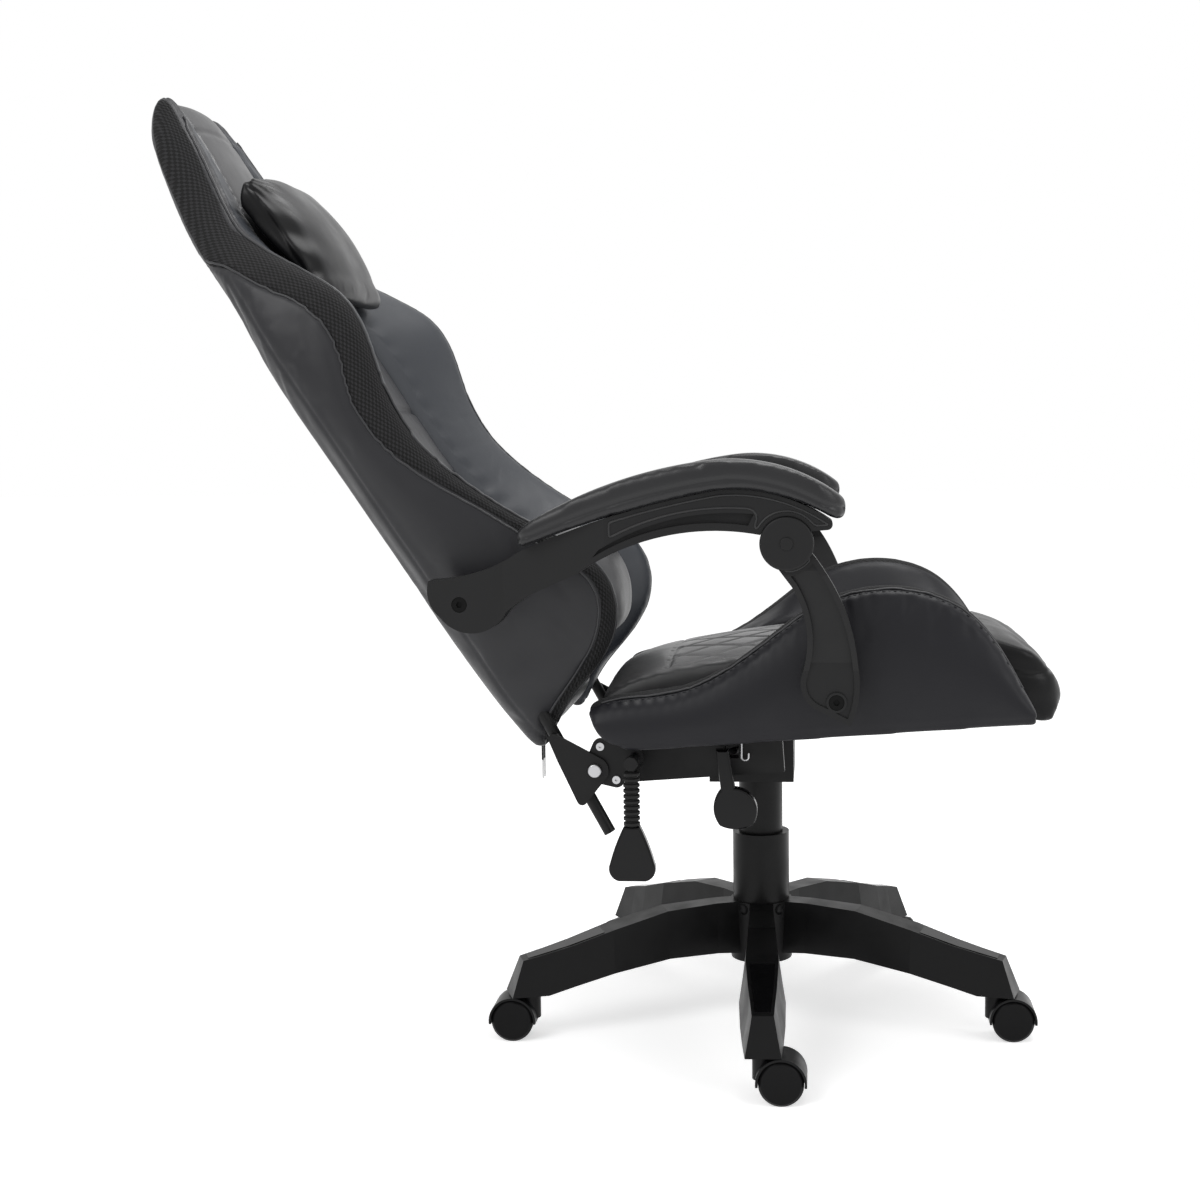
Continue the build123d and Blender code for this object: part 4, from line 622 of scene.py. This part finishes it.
def mark_lit_inside(obj):
    """Marks the wing's inner face, from its front piping to the back's middle, for a painted highlight."""
    _, _, v, _, rear, _, _, side, _ = wing_marks(get_points(obj.data))
    inside = ramp(-side, 2, 4) * (v > rear + 12)
    obj.data.attributes.new("inside", "FLOAT", "POINT").data.foreach_set("value", inside)


wing_right = soft("wing_cover_right", "back_wing_right", "back", M_WING,
                  wing_pin, wing_form)
mark_lit_inside(wing_right)
other_side(wing_right, "wing_cover_left", "back_wing_left", "back", M_WING)


# The seat's bolsters
def bolster_marks(co):
    """Where points lie on a bolster, and its crest there."""
    s, y, n = seat_coords(co)
    return s, np.abs(y), n, bolster_crest(s)


def bolster_pin(co):
    """Holds a bolster underneath, at its joint with the middle and along its crest."""
    _, y, n, crest = bolster_marks(co)
    hidden = bell(n, 9) + bell(y - CENTRE_HALF, 9)
    top = np.where(n > crest - 14, bell(y - CREST_Y, 5), 0)
    return np.clip(hidden + top, 0, 1)


def bolster_form(co, normal):
    """Sews a bolster's crest and lower edge, with mesh on the inner side of the crest."""
    s, y, n, crest = bolster_marks(co)
    top = n > 0.6 * crest
    seam = y - CREST_Y
    amount = np.where(top, groove(seam, width=2.4, depth=1.6), 0)
    amount += np.where(top, pucker(s, seam - 8, pitch=13.0, reach=7, depth=0.35), 0)
    amount += np.where(y > SEAT_HALF - 25, groove(n - 7, width=3.0, depth=1.0), 0)
    return press(co, normal, amount), np.where(top, np.minimum(-seam, seam + 34), NO_MESH)


bolster_right = soft("bolster_cover_right", "seat_bolster_right", "seat", M_BOLSTER,
                     bolster_pin, bolster_form)
other_side(bolster_right, "bolster_cover_left", "seat_bolster_left", "seat", M_BOLSTER)


# The quilted middle of the seat
def quilt_lines(co):
    """Distance to the nearest quilting line, whether a point is on the quilted panel, and its place."""
    s, y, n = seat_coords(co)
    reach = 2 * QUILT_HALF * QUILT_SLOPE
    near = np.full(len(s), 1e3)
    for way in (1, -1):
        phase = (s - QUILT_SLOPE * (way * y + QUILT_HALF) - QUILT_REAR + reach) / QUILT_PITCH
        near = np.minimum(near, np.abs(phase - np.round(phase)) * QUILT_PITCH / math.hypot(1, QUILT_SLOPE))
    inside = (s > QUILT_REAR - QUILT_MARGIN) & (s < QUILT_FRONT + QUILT_MARGIN)
    inside &= (np.abs(y) < QUILT_HALF + QUILT_MARGIN) & (n > QUILT_LOW)
    ends = np.minimum(np.abs(s - QUILT_REAR), np.abs(s - QUILT_FRONT))
    border = np.minimum(ends, np.abs(np.abs(y) - QUILT_HALF))
    return np.minimum(near, border), inside, s, y, n


def seat_pin(co):
    """Holds the seat along its quilting, underneath and beside the bolsters."""
    near, inside, s, y, n = quilt_lines(co)
    hidden = bell(np.abs(y) - CENTRE_HALF, 8) * (s < 320) + bell(n, 8) * (s < 280)
    return np.clip(np.where(inside, bell(near, 4), 0) + hidden, 0, 1)


def seat_form(co, normal):
    """Sews the quilting, creases the front lip, lets it sag and marks it for painted shade."""
    near, inside, s, y, n = quilt_lines(co)
    amount = np.where(inside, groove(near, width=2.6, depth=1.6), 0)
    lip = s > LIP_FOLDS
    fold = np.sin(y / 17.0 + 2.2 * np.sin(n / 21.0)) + 0.6 * np.sin(y / 9.0 - n / 16.0 + 1.3)
    amount += np.where(lip, 1.1 * fold * ramp(s, LIP_FOLDS, 25), 0)
    amount += np.where(lip, groove(n - 52, width=3.0, depth=1.5), 0)
    move = np.outer(ramp(s, LIP_SAG, 55), (-8.0, 0, -13.0)) * ramp(n, 0, 60)[:, None]
    return press(co, normal, amount) + move / 1000, ramp(s, LIP_SHADE, 10)


soft("seat_cover_centre", "seat_centre_pad", "seat", M_SEAT_LIT, seat_pin, seat_form,
     cap=0.004)


# The middle of the back, the head and the rear panel
def centre_pin(co):
    """Holds the middle of the back at its sides, behind, and along its channels."""
    u, y, v = back_coords(co)
    hidden = bell(np.abs(y) - centre_edge(u), 8) + (v < centre_front(u) - 8)
    lines = sum(bell(u - place, 5) for place in CHANNELS)
    return np.clip(hidden + lines, 0, 1)


def centre_form(co, normal):
    """Sews the channels across the middle of the back."""
    u, _, v = back_coords(co)
    amount = sum(groove(u - place, width=4.0, depth=3.0) for place in CHANNELS)
    return press(co, normal, np.where(v > centre_front(u) - 3, amount, 0)), np.full(len(u), NO_MESH)


soft("back_cover_centre", "back_centre_pad", "back", M_LEATHER, centre_pin, centre_form)


def head_form(co, normal):
    """Sews the line below the top of the head, then rounds the top."""
    u, _, v = back_coords(co)
    amount = np.where(v > centre_front(u) - 3, groove(u - 872, width=3.0, depth=1.4), 0)
    return round_head(press(co, normal, amount)), np.full(len(u), NO_MESH)


def rear_pin(co):
    """Holds the rear panel everywhere."""
    return np.ones(len(co))


def rear_form(co, normal):
    """Lets the rear panel follow the rounded head."""
    return round_head(co), np.full(len(co), NO_MESH)


soft("head_cover", "head_panel", "back", M_HEAD_LIT, centre_pin, head_form, cap=0.003)
soft("back_cover_rear", "back_rear_panel", "back", M_LEATHER, rear_pin, rear_form,
     cap=0.001, voxel=0.004, smooth=1)


# Pillows: a seam runs round the middle of each and is drawn out into ears at the upper corners
def pillow_forms(node, deep, ear, slim, climb):
    """A pillow's pin and form, from the depth of its folds, its ears, its share of depth and its climb."""
    u, y, v = back_coords(get_points(frame["nodes"][node].data))
    middle, half_high, half_wide = (u.max() + u.min()) / 2, (u.max() - u.min()) / 2, y.max()
    seam_v = v[y > half_wide - 3].mean()

    def rim_share(u, y):
        """How near the rim a point is, as a share of the half size."""
        return np.maximum(np.abs(u - middle) / half_high, np.abs(y) / half_wide)

    def pin(co):
        """Holds a pillow along its seam and behind."""
        u, y, v = back_coords(co)
        behind = v < seam_v - 12
        return np.clip(bell(v - seam_v, 6) * (rim_share(u, y) > 0.8) + behind, 0, 1)

    def form(co, normal):
        """Sews the seam, folds the ends and draws out the ears."""
        u, y, v = back_coords(co)
        up, out = u - middle - half_high, np.abs(y) - half_wide
        away, bearing = np.hypot(up, out), np.arctan2(out, up)
        fold = np.sin(9 * bearing) + 0.6 * np.sin(15 * bearing + 0.8)
        end = bell(out, 32) * ramp(v, seam_v - 14, 20)
        amount = np.where(rim_share(u, y) > 0.75, groove(v - seam_v, width=3.0, depth=2.2), 0)
        amount += deep * fold * bell(away, 75) * ramp(away, 0, 25) * end
        amount += 0.8 * deep * np.sin(u / 9.0 + v / 11.0) * end
        pull = ear * bell(away, 26) * bell(v - seam_v, 16)
        move = np.outer(0.9 * pull + climb, UP_BACK)
        move[:, 1] += 0.35 * pull * np.sign(y)
        move += np.outer(np.clip(v - seam_v, 0, None) * (slim - 1), FORWARD)
        # The panel value marks the pillow's ends, where the head pillow's leather gets painted shade
        return press(co, normal, amount) + move / 1000, ramp(np.abs(y), 0.8 * half_wide, 10)

    return pin, form


pin, form = pillow_forms("head_pillow", deep=2.4, ear=16.0, slim=0.75, climb=8.0)
soft("head_pillow_cover", "head_pillow", "back", M_PILLOW, pin, form, voxel=0.005, cap=0.008,
     pressure=5.0)
pin, form = pillow_forms("lumbar_pillow", deep=0.6, ear=0.0, slim=1.0, climb=0.0)
soft("lumbar_pillow_cover", "lumbar_pillow", "back", M_LUMBAR_LIT, pin, form, voxel=0.005)


# Arm pads: a sewn line runs along each side above the lower edge
def pad_pin(co):
    """Leaves an arm pad free."""
    return np.zeros(len(co))


def pad_form(co, normal):
    """Sews a line along both sides of an arm pad."""
    x, z = co[:, 0] * 1000, co[:, 2] * 1000
    cuts = np.arange(x.min(), x.max(), 8.0)
    slices = [z[np.abs(x - cut) < 9] for cut in cuts]
    low = np.interp(x, cuts, [part.min() for part in slices])
    high = np.interp(x, cuts, [part.max() for part in slices])
    side = np.abs(normal[:, 1]) > 0.3
    amount = np.where(side, groove(z - low - 0.36 * (high - low), width=2.2, depth=1.5), 0)
    return press(co, normal, amount), np.full(len(co), NO_MESH)


pad_right = soft("arm_pad_cover_right", "arm_pad_right", "arm_right", M_ARM_PAD,
                 pad_pin, pad_form, voxel=0.004, cap=0.0004, pressure=2.0, smooth=6)
other_side(pad_right, "arm_pad_cover_left", "arm_pad_left", "arm_left", M_ARM_PAD)


# Piping, stitches and raised outlines
def cord(name, body, mat, points, radius, closed=False):
    """A thin round cord along points."""
    curve = bpy.data.curves.new(name + "_line", "CURVE")
    curve.dimensions = "3D"
    curve.bevel_depth = radius
    curve.bevel_resolution = 2
    curve.use_fill_caps = True
    line = curve.splines.new("POLY")
    line.use_cyclic_u = closed
    line.points.add(len(points) - 1)
    for spot, place in zip(line.points, points):
        spot.co = (*place, 1)
    drawn = new_object(name + "_line", curve)
    graph = bpy.context.evaluated_depsgraph_get()
    mesh = bpy.data.meshes.new_from_object(drawn.evaluated_get(graph))
    bpy.data.objects.remove(drawn)
    declare(new_object(name, mesh), body, mat)


def laid(cover, points, lift):
    """Points set down on a cover and raised a little."""
    found = []
    for point in points:
        _, place, normal, _ = cover.closest_point_on_mesh(point)
        found.append(place + normal * lift)
    return found


def flipped(points, way):
    """Points on the right side, or mirrored to the left."""
    return [Vector((p.x, p.y * way, p.z)) for p in points]


def wing_line(low, high, across, forward):
    """Points up the right wing."""
    spots = []
    for u in np.arange(low, high, 5.0):
        half, _, edge, crest = (float(a) for a in wing_shape(u))
        spots.append(back_point(u, -across(u, half, crest), forward(u, edge)))
    return laid(wing_right, spots, CORD_LIFT)


def stitch_row(name, body, points):
    """Short thread stitches, one between each point and the next."""
    work = bmesh.new()
    for here, there in zip(points[:-1], points[1:]):
        way = there - here
        turn = Matrix.Translation(here + way * 0.5) @ way.to_track_quat("Z", "Y").to_matrix().to_4x4()
        stretch = Matrix.Diagonal((1, 1, STITCH_LENGTH / STITCH_RADIUS / 2, 1))
        bmesh.ops.create_icosphere(work, subdivisions=1, radius=STITCH_RADIUS, matrix=turn @ stretch)
    mesh = bpy.data.meshes.new(name)
    work.to_mesh(mesh)
    work.free()
    declare(new_object(name, mesh), body, M_THREAD)


def crest_points(first, last, pitch, outward):
    """Points along the right bolster's crest, or beside it."""
    return [seat_point(s, -CREST_Y - outward, bolster_crest(s)) for s in np.arange(first, last, pitch)]


band_seam = wing_line(70, 728, lambda u, half, crest: half, lambda u, edge: seam_at(u))
band_front = wing_line(66, 905, lambda u, half, crest: half - crest * (1 - head_wrap(u)),
                       lambda u, edge: edge)
crest_cord = laid(bolster_right, crest_points(-165, 304, 5.0, 0), CORD_LIFT)
crest_thread = laid(bolster_right, crest_points(-160, 302, 6.5, 7), THREAD_LIFT)
PIPING = (
    ("wing_band_seam_", "back", band_seam, SEAM_CORD),
    ("wing_front_piping_", "back", band_front, FRONT_CORD),
    ("bolster_piping_", "seat", crest_cord, CREST_CORD),
)
for side, way in SIDES:
    for name, body, line, radius in PIPING:
        cord(name + side, body, M_PIPING, flipped(line, way), radius)
    stitch_row("bolster_stitches_" + side, "seat", flipped(crest_thread, way))


def outline(node, inset):
    """The rim of a piece's flat outer face on the right side, moved inwards."""
    work = bmesh.new()
    work.from_mesh(frame["nodes"][node].data)
    bmesh.ops.remove_doubles(work, verts=work.verts, dist=1e-5)
    outer = min(vert.co.y for vert in work.verts)
    flat = {face for face in work.faces if all(vert.co.y < outer + 0.0003 for vert in face.verts)}
    links = {}
    for edge in work.edges:
        if sum(face in flat for face in edge.link_faces) == 1:
            for vert, other in (edge.verts, reversed(edge.verts)):
                links.setdefault(vert, []).append(other)
    loops, seen = [], set()
    for start in links:
        loop = []
        while start is not None and start not in seen:
            seen.add(start)
            loop.append((start.co.x, start.co.z))
            start = next((other for other in links[start] if other not in seen), None)
        loops.append(loop)
    work.free()
    rim = np.array(max(loops, key=len))
    step = np.linalg.norm(np.roll(rim, -1, axis=0) - rim, axis=1)
    run = np.concatenate(([0], np.cumsum(step)))
    even = np.arange(0, run[-1], 0.003)
    rim = np.stack([np.interp(even, run, np.append(rim[:, k], rim[0, k])) for k in (0, 1)], axis=1)
    way = np.roll(rim, -1, axis=0) - np.roll(rim, 1, axis=0)
    way /= np.maximum(np.linalg.norm(way, axis=1), 1e-9)[:, None]
    area = np.sum(rim[:, 0] * np.roll(rim[:, 1], -1) - np.roll(rim[:, 0], -1) * rim[:, 1])
    moved = rim + np.stack((-way[:, 1], way[:, 0]), axis=1) * inset * np.sign(area)
    clear = np.array([np.linalg.norm(rim - spot, axis=1).min() for spot in moved]) > 0.93 * inset
    moved = moved[clear]
    for _ in range(2):
        moved = 0.5 * moved + 0.25 * (np.roll(moved, 1, axis=0) + np.roll(moved, -1, axis=0))
    return [Vector((x, outer, z)) for x, z in moved]


for kind, inset in (("strut", 0.005), ("beam", 0.0055)):
    rim = outline("arm_" + kind + "_right", inset)
    for side, way in SIDES:
        body = ("strut_" if kind == "strut" else "arm_") + side
        cord("arm_" + kind + "_ridge_" + side, body, M_RIDGE_LIT, flipped(rim, way),
             RIDGE_CORD, closed=True)

# Floor, lights and camera
FLOOR_GLOW, WORLD_LIGHT, LIGHT_SIZE = 0.5, 0.6, 1.6
bpy.ops.mesh.primitive_plane_add(size=40, location=(0, 0, 0))
floor = bpy.context.object
floor.name = "floor"
M_FLOOR, _, _, bsdf = shader("floor_white")
bsdf.inputs["Base Color"].default_value = (0.9, 0.9, 0.9, 1)
bsdf.inputs["Roughness"].default_value = 0.9
bsdf.inputs["Specular IOR Level"].default_value = 0.0
bsdf.inputs["Emission Color"].default_value = (1, 1, 1, 1)
bsdf.inputs["Emission Strength"].default_value = FLOOR_GLOW
floor.data.materials.append(M_FLOOR)

# The world is white to look at and softer as a light
world = bpy.data.worlds.new("studio")
scene.world = world
world.use_nodes = True
nodes, links = world.node_tree.nodes, world.node_tree.links
path = nodes.new("ShaderNodeLightPath")
seen = nodes.new("ShaderNodeMath")
seen.operation = "MAXIMUM"
links.new(path.outputs["Is Camera Ray"], seen.inputs[0])
links.new(path.outputs["Is Glossy Ray"], seen.inputs[1])
shown = nodes.new("ShaderNodeMath")
shown.operation = "MAXIMUM"
links.new(seen.outputs[0], shown.inputs[0])
links.new(path.outputs["Is Transmission Ray"], shown.inputs[1])
level = nodes.new("ShaderNodeMapRange")
level.inputs["To Min"].default_value = WORLD_LIGHT
level.inputs["To Max"].default_value = 1.0
links.new(shown.outputs[0], level.inputs["Value"])
links.new(level.outputs["Result"], nodes["Background"].inputs["Strength"])
nodes["Background"].inputs["Color"].default_value = (1, 1, 1, 1)


def area_light(name, place, target, power):
    """A soft square light that looks at a point."""
    data = bpy.data.lights.new(name, "AREA")
    data.size = LIGHT_SIZE
    data.energy = power
    light = new_object(name, data)
    light.location = place
    light.rotation_euler = (Vector(target) - Vector(place)).to_track_quat("-Z", "Y").to_euler()


area_light("key", (-1.8, -2.2, 2.6), (-0.1, 0, 0.6), 40)
area_light("fill", (2.4, -1.6, 1.8), (0, 0, 0.6), 20)
area_light("top", (0.4, 0.3, 3.0), (0, 0, 0.5), 45)

# The camera stands where the photo was taken from, as fitted to points on the chair
camera_data = bpy.data.cameras.new("camera")
camera = new_object("camera", camera_data)
CAM_PLACE = Vector((0.0764, -2.1428, 0.7227))
CAM_PITCH, CAM_YAW, CAM_ROLL = 0.0936, -0.0699, -0.0091
CAM_FOCAL_PX, IMAGE_PX, SENSOR_MM, CAM_SHIFT = 1746.8, 1200, 36.0, -0.0833
ahead = Vector((math.sin(CAM_YAW) * math.cos(CAM_PITCH), math.cos(CAM_YAW) * math.cos(CAM_PITCH),
                -math.sin(CAM_PITCH)))
level_right = Vector((math.cos(CAM_YAW), -math.sin(CAM_YAW), 0))
right = level_right * math.cos(CAM_ROLL) + level_right.cross(ahead) * math.sin(CAM_ROLL)
camera.location = CAM_PLACE
camera.rotation_euler = Matrix((right, right.cross(ahead), -ahead)).transposed().to_euler()
camera_data.sensor_width = SENSOR_MM
camera_data.lens = SENSOR_MM * CAM_FOCAL_PX / IMAGE_PX
camera_data.shift_x = CAM_SHIFT
scene.camera = camera
scene.view_settings.view_transform = "Standard"
